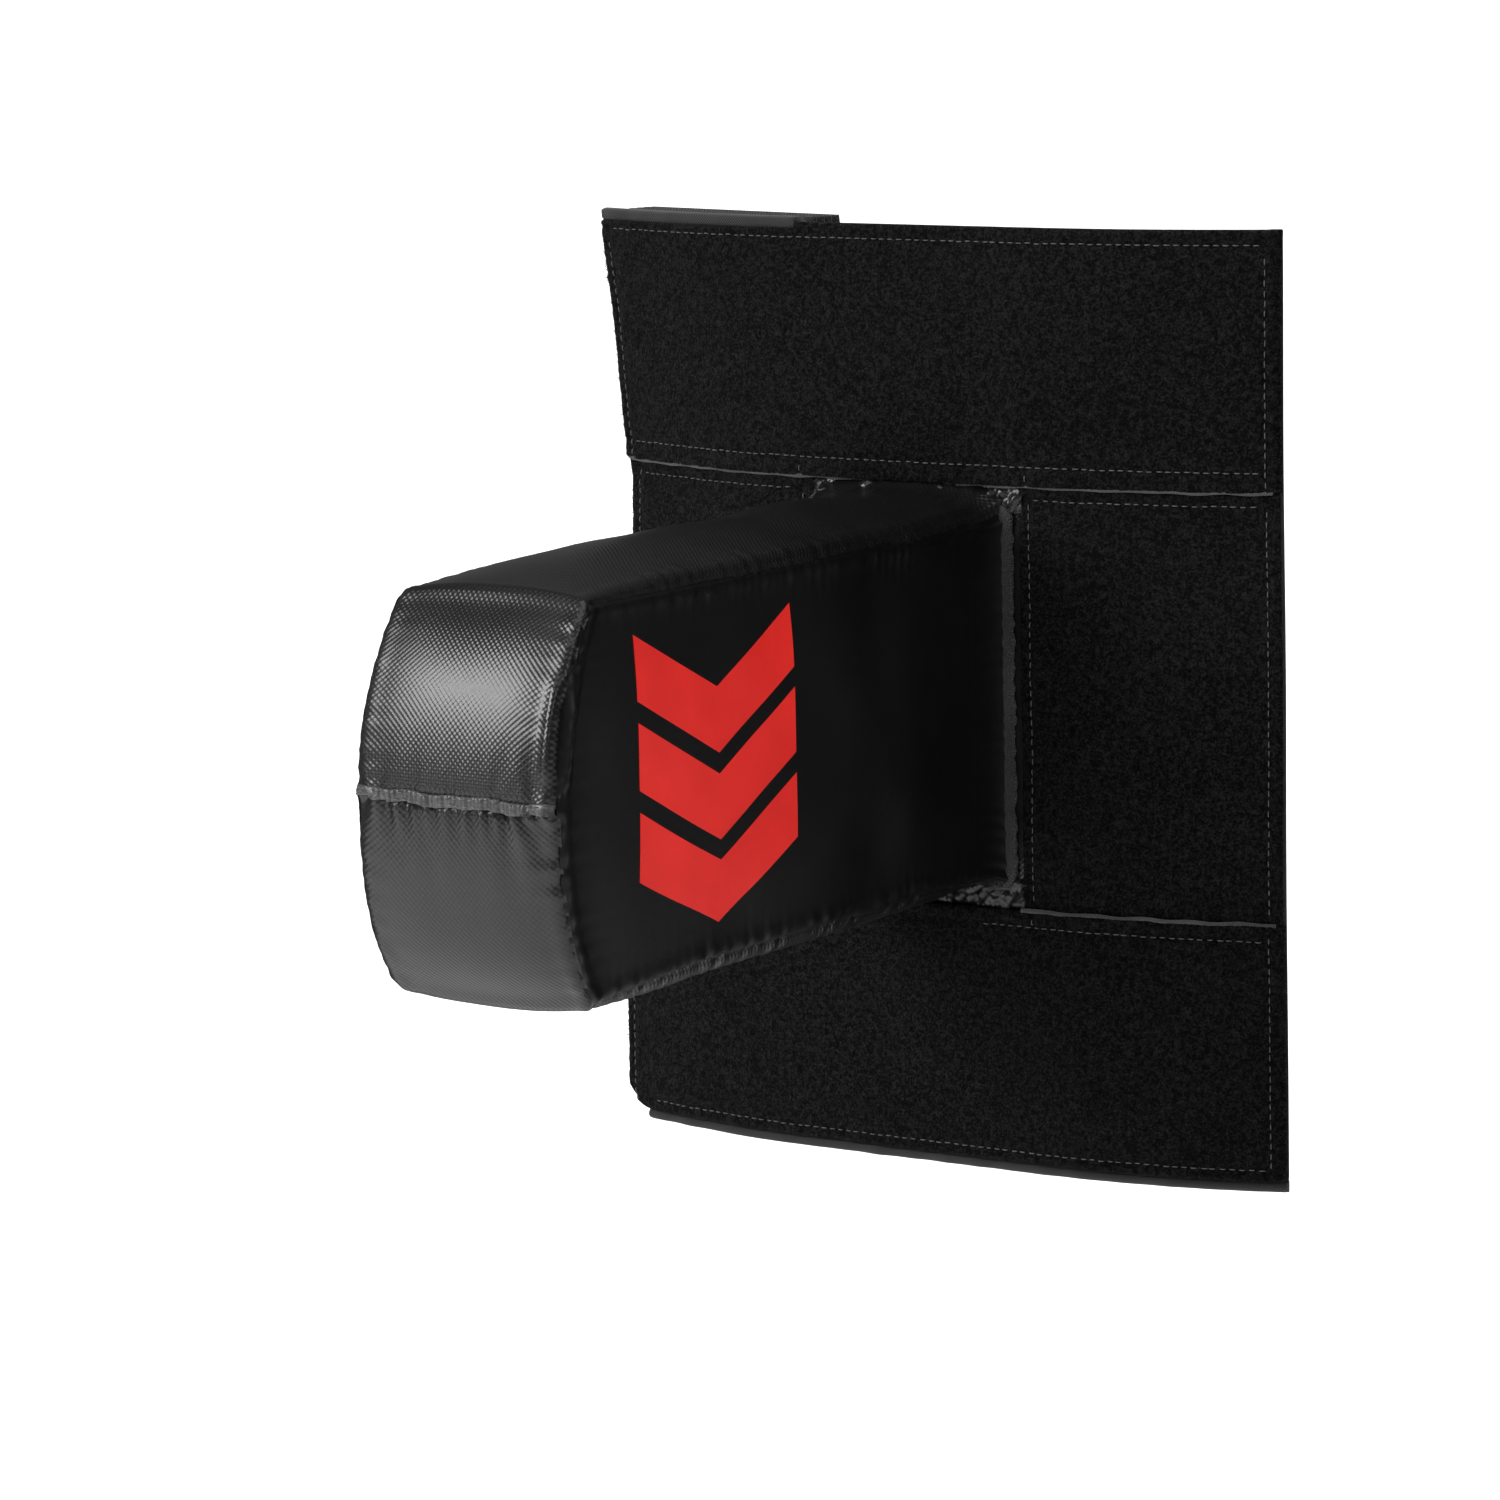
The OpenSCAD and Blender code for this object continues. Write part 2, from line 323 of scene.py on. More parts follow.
loopCloth = loopClothMaterial()
scrimVinyl = scrimVinylMaterial()
sideVinyl = sideVinylMaterial()
liningCloth = wovenMaterial("liningCloth", (0.022, 0.022, 0.024), 1.1 * mm, 0.12 * mm)
edgeTape = wovenMaterial("edgeTape", (0.008, 0.008, 0.0085), 1.3 * mm, 0.14 * mm, 0.65)
ridgeTape = wovenMaterial("ridgeTape", (0.02, 0.02, 0.021), 1.4 * mm, 0.4 * mm, 0.45)
# paler tape for the tubes along the bands' folds: its colour is a painted highlight
foldHighlightTape = wovenMaterial("foldHighlightTape", (0.05, 0.05, 0.052), 1.2 * mm, 0.2 * mm, 0.8)
beltCloth = wovenMaterial("beltCloth", (0.018, 0.018, 0.019), 1.6 * mm, 0.2 * mm, 0.75)
darkThread = threadMaterial("darkThread", (0.07, 0.07, 0.073))
softFoam = foamMaterial("softFoam", (0.42, 0.43, 0.45), 900)
coreFoam = foamMaterial("coreFoam", (0.16, 0.165, 0.175), 500)
padFoam = foamMaterial("padFoam", (0.05, 0.05, 0.053), 1200)
hookTape = hookTapeMaterial()
markPrint = markMaterial()
print("materials made")

# the panel's shape, from the frame

centreLow, centreHigh = boxOf("centre_lining")
wingHigh = boxOf("right_lining")[1]
padDepth = -boxOf("centre_pad")[0][1]
midDepth = padDepth + 2 * mm
bandDepth = -boxOf("centre_top_band")[0][1]
liningDepth = -centreLow[1]
creaseX = centreHigh[0]
bindingLow, bindingHigh = boxOf("centre_top_binding")
bandTop = bindingLow[2]
panelTop = bindingHigh[2]
topFold = boxOf("centre_top_band")[0][2]
lowFold = boxOf("centre_bottom_band")[1][2]


def arcRadius(reach, rise, depth):
    # radius of the wings' rear face, from how far its lining reaches sideways and backwards
    radius = (reach * reach + rise * rise) / (2 * rise)
    for _ in range(30):
        rear = reach * radius / (radius + depth)
        radius = (rear * rear + rise * rise) / (2 * rise)
    return radius


wingRadius = arcRadius(wingHigh[0] - creaseX, wingHigh[1], liningDepth)
wingAngle = math.acos(1 - wingHigh[1] / wingRadius)
panelEdge = creaseX + wingAngle * wingRadius  # half the width, measured round the rear face
print("wing radius %.1f mm, half width %.1f mm" % (wingRadius / mm, panelEdge / mm))

panelShape = dict(curl=8 * mm, curlTop=82 * mm, curlRise=110 * mm, curlLow=-86 * mm, curlFade=14 * mm,
                  curlLeast=-0.2, sway=0.6 * mm, swayLength=160 * mm, trimTop=-2.5 * mm, trimFold=1.5 * mm,
                  trimLow=3.5 * mm)


def panelPoint(s, z, depth):
    # s runs round the rear face from the middle, depth counts forwards from it
    s, z, depth = np.broadcast_arrays(np.asarray(s, float), np.asarray(z, float), np.asarray(depth, float))
    out = smooth((np.abs(s) - creaseX) / (panelEdge - creaseX))
    shape = panelShape
    trim = np.where(z > topFold, shape["trimTop"] + (shape["trimFold"] - shape["trimTop"])
                    * (panelTop - z) / (panelTop - topFold), shape["trimLow"])
    s = s + np.where(s < 0, trim * out, 0)
    away = np.maximum(np.abs(s) - creaseX, 0)
    angle = away / wingRadius
    window = np.clip((shape["curlTop"] + shape["curlRise"] - z) / shape["curlRise"], shape["curlLeast"], 1)
    window = window * smooth((z - shape["curlLow"]) / shape["curlFade"])
    curl = np.where(s < 0, shape["curl"] * out * window, 0)
    radius = wingRadius + depth - curl + shape["sway"] * out * waves2(s, z, shape["swayLength"], 5)
    x = np.sign(s) * (np.minimum(np.abs(s), creaseX) + radius * np.sin(angle))
    y = np.where(away > 0, wingRadius - radius * np.cos(angle), -depth)
    return np.stack([x, y, z], -1)


sides = {"left": -1, "right": 1}


def bendAtCrease(piece):
    # cloth crosses the crease between the centre section and its wing
    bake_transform(piece)
    return piece


rows = dict(top=bandTop - 3.2 * mm, topFold=topFold + 8 * mm, mid=topFold - 5.4 * mm,
            lowFold=lowFold - 6.4 * mm, bottom=-bandTop + 4.5 * mm, inset=6.5 * mm,
            leftJoint=-51.6 * mm, rightJoint=55.5 * mm,
            groove=0.75 * mm, grooveWidth=1.5 * mm)
pile = dict(curlHeight=0.2 * mm, curlLength=3.4 * mm, tuft=0.12 * mm, tuftLength=11 * mm, wave=0.3 * mm,
            waveLength=75 * mm, hump=2.6 * mm, humpWidth=52 * mm, humpHeight=40 * mm)


def pileRelief(s, z):
    # tufts of the loop cloth, and the grooves that the stitch rows pull into it
    rise = pile["curlHeight"] * waves2(s, z, pile["curlLength"], 3)
    rise = rise + pile["tuft"] * waves2(s, z, pile["tuftLength"], 7)
    rise = rise + pile["wave"] * waves2(s, z, pile["waveLength"], 11)
    for height in (rows["top"], rows["topFold"], rows["mid"], rows["lowFold"], rows["bottom"]):
        rise = rise - rows["groove"] * np.exp(-(((z - height) / rows["grooveWidth"]) ** 2))
    middle = (z < topFold + 8 * mm) & (z > lowFold - 8 * mm)
    for place, window in ((rows["leftJoint"], middle), (rows["rightJoint"], middle),
                          (rows["inset"] - panelEdge, 1), (panelEdge - rows["inset"], 1)):
        rise = rise - window * rows["groove"] * np.exp(-(((s - place) / rows["grooveWidth"]) ** 2))
    over = np.exp(-((s / pile["humpWidth"]) ** 2)) * np.exp(-(((z - topFold) / pile["humpHeight"]) ** 2))
    return rise + pile["hump"] * over * (z > topFold - 2 * mm)


def clothSlab(name, side, reach, zRange, depths, material, relief=None, step=1.3 * mm, endRound=3 * mm,
              corner=0, backRows=14):
    # a closed length of cloth with rolled edges, laid on the panel's curve
    way = sides[side]
    start, end = reach
    turn = np.linspace(0, math.pi / 2, 7)
    inner = np.arange(start, end - endRound, step)
    s = np.concatenate([inner, end - endRound * (1 - np.sin(turn))])
    squeeze = np.concatenate([np.ones(len(inner)), np.maximum(np.cos(turn), 0.05)])[:, None]
    low, high = zRange
    if callable(high):
        high = high(way * s)[:, None]
    if corner:
        past = np.clip(s - (end - corner), 0, corner)
        low = (low + corner - np.sqrt(corner**2 - past**2))[:, None]
    s = way * s[:, None]
    front, back = depths
    theta = np.linspace(0, math.pi, 7)[1:-1]
    count = max(3, int((np.max(high) - zRange[0]) / step))
    share = np.concatenate([np.linspace(0, 1, count), np.ones(5), np.linspace(1, 0, backRows), np.zeros(5)])
    beyond = np.concatenate([np.zeros(count), np.sin(theta), np.zeros(backRows), -np.sin(theta)])
    face = np.concatenate([np.ones(count), np.cos(theta), -np.ones(backRows), -np.cos(theta)])
    outerEdge = zRange[0] if zRange[0] < 0 else np.max(high)
    roll = 0.5 * (front - (back(0, outerEdge) if callable(back) else back))
    roll = min(roll, 0.42 * float(np.min(high - low)))  # thin edges keep some flat
    z = low + roll + share * (high - low - 2 * roll) + beyond * roll
    behind = back(s, z) if callable(back) else back
    depth = 0.5 * (front + behind) + 0.5 * face * (front - behind) * squeeze
    if relief is not None:
        depth = depth + relief(s + 0 * z, z) * np.clip(0.5 + face, 0, 1) * squeeze
    points = panelPoint(s, z, depth)
    count, around = points.shape[:2]
    faces = list(gridFaces(count, around, flip=way < 0, wrap=True))
    total = count * around
    caps = [np.arange(around)[::-1] + total, np.arange(around) + total + around]
    faces += [c[::-1] if way < 0 else c for c in caps]
    points = np.concatenate([points.reshape(-1, 3), points[0], points[-1]])
    return addMesh(name, points, faces, material)


stitchLook = dict(pitch=4 * mm, dash=2.6 * mm, radius=0.23 * mm, rise=0.42 * mm)


def stitches(runs, look=None, seed=1):
    # each run is a chain of points with outward directions; returns the threads' points and faces
    look = look or stitchLook
    along = np.linspace(-0.5, 0.5, 6) * look["dash"]
    height = look["rise"] * (1 - (2 * along / look["dash"]) ** 4)
    thick = look["radius"] * np.array([0.35, 0.9, 1, 1, 0.9, 0.35])
    phi = np.linspace(0, 2 * math.pi, 6)[:-1]
    points, faces, total = [], [], 0
    rng = np.random.default_rng(seed)
    for path, out in runs:
        path, out = np.asarray(path), np.asarray(out)
        length = np.concatenate([[0], np.cumsum(np.linalg.norm(np.diff(path, axis=0), axis=1))])
        centres = np.arange(0.6 * look["pitch"], length[-1] - 0.5 * look["pitch"], look["pitch"])
        centres = centres + rng.normal(0, 0.05, len(centres)) * look["pitch"]
        where = centres[:, None] + along
        spot = np.stack([np.interp(where, length, path[:, k]) for k in range(3)], -1)
        up = np.stack([np.interp(where, length, out[:, k]) for k in range(3)], -1)
        ahead = np.gradient(spot, axis=1)
        ahead /= np.linalg.norm(ahead, axis=-1, keepdims=True)
        beside = np.cross(ahead, up)
        beside /= np.linalg.norm(beside, axis=-1, keepdims=True)
        up = np.cross(beside, ahead)
        spot = spot + up * height[None, :, None]
        spot = spot + beside * (rng.normal(0, 0.08 * mm, len(centres))[:, None, None])
        ring = (spot[:, :, None] + thick[None, :, None, None]
                * (np.cos(phi)[:, None] * beside[:, :, None] + np.sin(phi)[:, None] * up[:, :, None]))
        for _ in ring:
            faces += list(gridFaces(6, 5, start=total, wrap=True))
            faces += [np.arange(5) + total, np.arange(5)[::-1] + total + 25]
            total += 30
        points.append(ring.reshape(-1, 3))
    return np.concatenate(points), faces


def panelRun(s, z, depth):
    s, z = np.broadcast_arrays(np.asarray(s, float), np.asarray(z, float))
    lift = depth + pileRelief(s, z) if depth > midDepth - mm else depth
    path = panelPoint(s, z, lift)
    return path, panelPoint(s, z, np.asarray(lift) + mm * np.sign(depth)) - path


# the camera, seen from the front left

cameraView = dict(azimuth=33.88, below=8.92, distance=2.46915, focal=6083.13, width=1500, sensor=36.0,
                  roll=-1.19, aside=-0.07036, height=-0.02176)


def makeCamera():
    v = cameraView
    a, e, roll = (math.radians(v[k]) for k in ("azimuth", "below", "roll"))
    ahead = Vector((-math.sin(a) * math.cos(e), math.cos(a) * math.cos(e), -math.sin(e)))
    right = Vector((math.cos(a), math.sin(a), 0))
    up = right.cross(ahead)
    target = Vector((v["aside"] * math.cos(a), v["aside"] * math.sin(a), v["height"]))
    place = target - ahead * v["distance"]
    turnedRight = right * math.cos(roll) + up * math.sin(roll)
    turnedUp = up * math.cos(roll) - right * math.sin(roll)
    data = bpy.data.cameras.new("viewCamera")
    data.lens = v["focal"] / v["width"] * v["sensor"]
    data.sensor_width = v["sensor"]
    data.clip_end = 30
    camera = bpy.data.objects.new("viewCamera", data)
    rotation = Matrix((turnedRight, turnedUp, -ahead)).transposed().to_4x4()
    camera.matrix_world = Matrix.Translation(place) @ rotation
    bpy.context.scene.collection.objects.link(camera)
    bpy.context.scene.camera = camera


makeCamera()

# floor, backdrop and lights

stageLook = dict(floorZ=-0.34, radius=9.0, bend=2.2, height=7.0, turn=33.88)


def makeStage():
    # a pale round floor that curves up into a wall all round
    r = Recipe("paleStage")
    tone = r.ramp(r.noise(1.5, 3, 0.5), 0.3, 0.7, (0.86, 0.86, 0.86), (0.9, 0.9, 0.9))
    material = r.finish(tone, r.span(r.noise(3, 2, 0.5), 0.85, 0.95))
    v = stageLook
    flat = v["radius"] - v["bend"]
    rise = np.linspace(0, math.pi / 2, 25)
    floor = np.array([[0.01 * mm, 0], [flat, 0]])
    wall = np.column_stack([np.append(flat + v["bend"] * np.sin(rise), v["radius"]),
                            np.append(v["bend"] * (1 - np.cos(rise)), v["height"])])
    # only the floor in front shows in the glossy vinyl
    halves = (("paleFloor", floor, 1, True), ("paleWall", wall, 1, False),
              ("paleBackFloor", floor, 0, False), ("paleBackWall", wall, 0, False))
    for name, profile, half, mirrored in halves:
        around = math.pi * half + math.radians(v["turn"]) + np.linspace(0, math.pi, 73)
        reach, height = profile[:, :1], profile[:, 1:] + v["floorZ"] + 0 * around
        grid = np.stack([reach * np.cos(around), reach * np.sin(around), height], -1)
        stage = addMesh(name, grid.reshape(-1, 3), gridFaces(len(profile), 73), material)
        stage.visible_glossy = mirrored


makeStage()


def areaLight(name, place, target, size, power, mirrored=True):
    data = bpy.data.lights.new(name, "AREA")
    data.shape, data.size, data.size_y = "RECTANGLE", size[0], size[1]
    data.energy = power
    light = bpy.data.objects.new(name, data)
    light.location = place
    light.visible_glossy = light.visible_camera = mirrored
    light.rotation_euler = (Vector(target) - Vector(place)).to_track_quat("-Z", "Y").to_euler()
    bpy.context.scene.collection.objects.link(light)


# boxes: name, place, target, size, power; sweeps light the floor behind: distance, height, width, power
lightLook = dict(boxes=(("keyBox", (-1.12, -1.82, 0.90), (0, -0.3, 0.02), (1.25, 1.0), 58),
                        ("topBox", (0.2, -0.8, 2.3), (0, -0.3, 0), (2.2, 1.8), 22),
                        ("rightBox", (1.9, -1.9, 1.3), (0, 0, 0), (1.0, 1.0), 10),
                        ("roomBox", (0, 0, 4.5), (0, 0, 0), (9, 9), 200)),
                 sweeps=((0.9, 0.95, 1.3, 14), (2.1, 0.95, 1.3, 14), (3.2, 1.1, 1.6, 18),
                         (4.6, 1.4, 2.6, 30), (6.2, 1.6, 3.0, 36), (7.8, 1.8, 3.4, 44)),
                 sweepDepth=1.2, along=(-0.557, 0.83, 0), room=0.15)


def makeLights():
    v = lightLook
    for name, place, target, size, power in v["boxes"]:
        areaLight(name, place, target, size, power, mirrored=name != "roomBox")
    for index, (far, height, width, power) in enumerate(v["sweeps"]):
        middle = Vector(v["along"]) * far
        areaLight("sweepBox_%d" % index, (middle.x, middle.y, height),
                  (middle.x, middle.y + 0.01, -1), (width, v["sweepDepth"]), power, False)
    world = bpy.data.worlds.new("softRoom")
    world.use_nodes = True
    world.node_tree.nodes["Background"].inputs[0].default_value = (1, 1, 1, 1)
    world.node_tree.nodes["Background"].inputs[1].default_value = v["room"]
    bpy.context.scene.world = world
    bpy.context.scene.view_settings.view_transform = "Standard"


makeLights()
print("camera, stage and lights made")

# the panel's cloth

bindingLook = dict(bulge=0.35 * mm, drop=2.4 * mm)
bandLook = dict(overlap=5 * mm, cornerRound=17 * mm, endRound=4 * mm)


def bandBack(foldZ, way):
    # the band stands clear of the middle cloth where it laps over it
    def back(s, z):
        lap = smooth(((z - foldZ) * way - bandLook["overlap"]) / (2 * mm))
        return np.where(np.abs(s) > panelEdge - 5 * mm, liningDepth, midDepth + 0.15 * mm
                        - lap * (midDepth - padDepth)) + 0 * z
    return back


def bandEdge(s):
    # the band covers the top edge, except along the folded belt on the left
    return bandTop + 0.4 * mm + (panelTop - bindingLook["drop"] - bandTop) * smooth((s + creaseX) / mm)


def makeLoopCloth(side):
    way = sides[side]
    edge = panelEdge
    top = clothSlab("loopBandTop_" + side, side, (0, edge), (topFold, bandEdge),
                    (bandDepth, bandBack(topFold, 1)), loopCloth, pileRelief, endRound=bandLook["endRound"])
    low = clothSlab("loopBandBottom_" + side, side, (0, edge), (-bandTop - 0.4 * mm, lowFold),
                    (bandDepth, bandBack(lowFold, -1)), loopCloth, pileRelief, endRound=bandLook["endRound"],
                    corner=bandLook["cornerRound"] if way < 0 else 0)
    mid = clothSlab("loopPanel_" + side, side, (creaseX - (1.5 if way > 0 else 7) * mm, edge - 1 * mm),
                    (lowFold - bandLook["overlap"] + 1 * mm, topFold + bandLook["overlap"] - 1 * mm),
                    (midDepth, padDepth), loopCloth, pileRelief, endRound=1 * mm)
    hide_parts(side + "_top_band")
    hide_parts(side + "_bottom_band")
    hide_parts(side + "_mid_panel")
    for piece in (top, low, mid):
        bendAtCrease(piece)
    return top, low, mid


loopPieces = {side: makeLoopCloth(side) for side in sides}
for index, node in enumerate(("centre_top_band", "centre_bottom_band")):
    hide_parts(node)


def makeBacking(side):
    padTop = bandTop - 0.5 * mm
    pad = clothSlab("panelPad_" + side, side, (0, panelEdge - 2 * mm), (-padTop, padTop),
                    (padDepth - 0.1 * mm, liningDepth + 0.1 * mm), padFoam,
                    lambda s, z: 0.15 * mm * waves2(s, z, 20 * mm, 19), step=3.5 * mm, endRound=1.5 * mm)
    lining = clothSlab("rearLining_" + side, side, (0, panelEdge - 0.5 * mm), (-bandTop, bandTop),
                       (liningDepth, 0.1 * mm), liningCloth, step=3 * mm, endRound=0.6 * mm, backRows=120,
                       corner=bandLook["cornerRound"] if side == "left" else 0)
    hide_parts(side + "_pad")
    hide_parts(side + "_lining")
    if side == "left":
        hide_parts("centre_pad")
        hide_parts("centre_lining")
    bendAtCrease(pad)
    bendAtCrease(lining)
    return pad, lining


backing = {side: makeBacking(side) for side in sides}


def makeBinding(side, upper):
    # woven tape folded over the panel's top or bottom edge
    def topEdge(s):
        return panelTop - bindingLook["drop"] * smooth((s + creaseX) / mm)

    def relief(s, z):
        # the top tape lies behind the band wherever the band reaches the edge
        behind = smooth((s + creaseX) / (2 * mm)) if upper else 0
        return bindingLook["bulge"] * waves2(s, z, 24 * mm, 31) - behind * (bandDepth - padDepth - 1.3 * mm)

    span = (bandTop - 0.2 * mm, topEdge) if upper else (-panelTop, -bandTop + 0.2 * mm)
    short = 0 if upper or side == "right" else bandLook["cornerRound"] - 4 * mm
    name = ("topBinding_" if upper else "bottomBinding_") + side
    piece = clothSlab(name, side, (0, panelEdge - short), span,
                      (bandDepth - 1.6 * mm, 0.3 * mm), edgeTape, relief, step=1.6 * mm, endRound=1.5 * mm)
    node = "_top_binding" if upper else "_bottom_binding"
    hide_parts(side + node)
    if side == "left":
        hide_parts("centre" + node)
    bendAtCrease(piece)


for side in sides:
    makeBinding(side, True)
    makeBinding(side, False)
print("panel cloth made")

foldLineLook = dict(radius=1.0 * mm, step=2.2 * mm)


def foldLightLine(side):
    # the turned edges along both bands' folds, drawn as pale tubes: their pale colour is a painted highlight
    # for the light line the folds catch
    way = sides[side]
    s = way * np.arange(0, panelEdge - 3 * mm, foldLineLook["step"])
    phi = np.linspace(0, 2 * math.pi, 7)[:-1]
    points, faces = [], []
    for index, (height, depth) in enumerate(((topFold + 0.2 * mm, midDepth + 0.6 * mm),
                                             (lowFold + 0.1 * mm, midDepth + 0.6 * mm))):
        skip = np.abs(s) > (0 if index == 0 else 50 * mm)
        run = s[skip][:, None]
        wander = 0.25 * mm * waves1(run, 30 * mm, 41 + index)
        z = height + wander + foldLineLook["radius"] * np.sin(phi)
        grid = panelPoint(run, z, depth + pileRelief(run + 0 * z, np.full_like(z, topFold + 20 * mm)) * 0.3
                          + foldLineLook["radius"] * np.cos(phi))
        start = sum(len(p) for p in points)
        faces += list(gridFaces(len(run), 6, flip=way > 0, start=start, wrap=True))
        faces += [np.arange(6)[::way] + start, np.arange(6)[::-way] + start + 6 * (len(run) - 1)]
        points.append(grid.reshape(-1, 3))
    piece = addMesh("foldLightLine_" + side, np.concatenate(points), faces, foldHighlightTape)
    bendAtCrease(piece)


def panelStitching(side):
    way = sides[side]
    limit = panelEdge - rows["inset"]
    s = way * np.arange(0, limit, 1.5 * mm)
    front = [(rows["top"], bandDepth, s), (rows["topFold"], bandDepth, s),
             (rows["lowFold"], bandDepth, s[np.abs(s) > 30 * mm]),
             (rows["bottom"], bandDepth, s[np.abs(s) < limit - (12 * mm if way < 0 else 0)]),
             (rows["mid"], midDepth, s[np.abs(s) > creaseX + 3 * mm])]
    runs = [panelRun(part, z, depth) for z, depth, part in front]
    spans = [(rows["bottom"], lowFold - 1 * mm, bandDepth), (lowFold + 3 * mm, topFold - 3 * mm, midDepth),
             (topFold + 1 * mm, rows["top"], bandDepth)]
    runs += [panelRun(way * limit, np.arange(low, high, 1.5 * mm), depth) for low, high, depth in spans]
    joint = rows["leftJoint"] if way < 0 else rows["rightJoint"]
    jointSpans = [(lowFold - 6 * mm, lowFold - 1 * mm, bandDepth), spans[1],
                  (topFold + 1 * mm, rows["topFold"], bandDepth)]
    runs += [panelRun(joint, np.arange(low, high, 1.5 * mm), depth) for low, high, depth in jointSpans]
    points, faces = stitches(runs, seed=17 + way)
    piece = addMesh("panelStitching_" + side, points, faces, darkThread)
    rear = [panelRun(s, rows[name], -0.05 * mm) for name in ("top", "bottom", "topFold", "lowFold")]
    rear += [panelRun(way * limit, np.arange(rows["bottom"], rows["top"], 1.5 * mm), -0.05 * mm)]
    points, faces = stitches(rear, seed=27 + way)
    behind = addMesh("rearStitching_" + side, points, faces, darkThread)
    for one in (piece, behind):
        bendAtCrease(one)


hairLook = dict(edgeCount=1100, faceCount=2600, radius=0.11 * mm, edgeRise=1.3 * mm, faceRise=0.7 * mm)


def loosePile(side):
    # single loops that stand out of the cloth, most of them along its edges
    way = sides[side]
    rng = np.random.default_rng(61 + way)
    edge, face = hairLook["edgeCount"], hairLook["faceCount"]
    s = np.concatenate([rng.uniform(panelEdge - 2.2 * mm, panelEdge - 0.4 * mm, edge),
                        rng.uniform(2 * mm, panelEdge - 3 * mm, face)]) * way
    z = rng.uniform(-bandTop + 4 * mm, bandTop - 4 * mm, edge + face)
    middle = (z < topFold) & (z > lowFold)
    keep = ~(middle & (np.abs(s) < creaseX + 1 * mm))
    corner = bandLook["cornerRound"]
    rounded = (way < 0) & (z < -bandTop + corner) & (np.abs(s) > panelEdge - corner)
    keep &= ~rounded
    atEdge = (np.arange(len(s)) < edge)[keep]
    s, z, middle = s[keep], z[keep], middle[keep]
    depth = np.where(middle, midDepth, bandDepth) - 0.1 * mm
    depth = depth - np.where(atEdge, rng.uniform(0, 4.5 * mm, len(s)) * np.where(middle, 0.3, 1), 0)
    depth = depth + np.where(atEdge, 0, pileRelief(s, z))
    rise = np.where(atEdge, hairLook["edgeRise"], hairLook["faceRise"]) * rng.uniform(0.4, 1.3, len(s))
    base = panelPoint(s, z, depth)
    up = panelPoint(s, z, depth + mm) - base
    up /= np.linalg.norm(up, axis=1, keepdims=True)
    outwards = np.cross(np.array([0, 0, 1.0]), up) * -way
    up = np.where(atEdge[:, None], up * 0.3 + outwards, up)
    up /= np.linalg.norm(up, axis=1, keepdims=True)
    lean = rng.normal(0, 1, (len(s), 3))
    lean -= up * np.sum(lean * up, axis=1, keepdims=True)
    lean /= np.linalg.norm(lean, axis=1, keepdims=True)
    t = np.linspace(0, 1, 5)
    arch, reach = np.sin(math.pi * t), (t - 0.5)
    path = (base[:, None] + up[:, None] * (arch * rise[:, None])[..., None]
            + lean[:, None] * (reach * rise[:, None] * 1.3)[..., None])
    ahead = np.gradient(path, axis=1)
    beside = np.cross(ahead, up[:, None])
    beside /= np.maximum(np.linalg.norm(beside, axis=-1, keepdims=True), 1e-12)
    over = np.cross(beside, ahead)
    over /= np.maximum(np.linalg.norm(over, axis=-1, keepdims=True), 1e-12)
    phi = np.linspace(0, 2 * math.pi, 4)[:-1]
    ring = path[:, :, None] + hairLook["radius"] * (np.cos(phi)[:, None] * beside[:, :, None]
                                                     + np.sin(phi)[:, None] * over[:, :, None])
    one = gridFaces(5, 3, wrap=True)
    faces = (one[None] + 15 * np.arange(len(s))[:, None, None]).reshape(-1, 4)
    ends = np.array([[0, 1, 2], [14, 13, 12]])
    caps = (ends[None] + 15 * np.arange(len(s))[:, None, None]).reshape(-1, 3)
    piece = addMesh("looseLoops_" + side, ring.reshape(-1, 3), list(faces) + list(caps), loopCloth)
    bendAtCrease(piece)


for side in sides:
    foldLightLine(side)
    panelStitching(side)
    loosePile(side)
print("panel stitching and loose loops made")

# the arm's cover: a blank of four panels, blown up as cloth

armHalf = boxOf("cover_side_right")[1][0]
armLow, armHigh = boxOf("cover_side_right")[0][2], boxOf("cover_side_right")[1][2]
armTip = boxOf("upper_gusset")[0][1]
armMiddle = 0.5 * (armLow + armHigh)
armShape = dict(endRadius=120 * mm, ring=-26 * mm, root=-6.8 * mm, rows=68, across=20, upright=36,
                pressure=4.0, frames=20, cap=5.0 * mm, hold=0.9, ease=12, ringFade=60 * mm,
                coverThickness=1.1 * mm, crown=0.8 * mm, crownFade=60 * mm, crownPower=0.42,
                fullTop=9.5 * mm, fullBottom=9 * mm,
                fullEnd=2.5 * mm, rollOff=22 * mm, sagDown=3 * mm, sagOut=4 * mm, sagRun=90 * mm,
                spread=3.5 * mm, spreadLow=4.5 * mm, spreadFade=70 * mm, seamTilt=1.2 * mm,
                tiltHeight=34 * mm)


def endY(z):
    radius = armShape["endRadius"]
    return armTip + radius - np.sqrt(radius**2 - (np.asarray(z) - armMiddle) ** 2)


cornerY = float(endY(armHigh))
straightRun = armShape["ring"] - cornerY
endArc = armShape["endRadius"] * math.asin((armHigh - armMiddle) / armShape["endRadius"])
gussetRun = straightRun + endArc


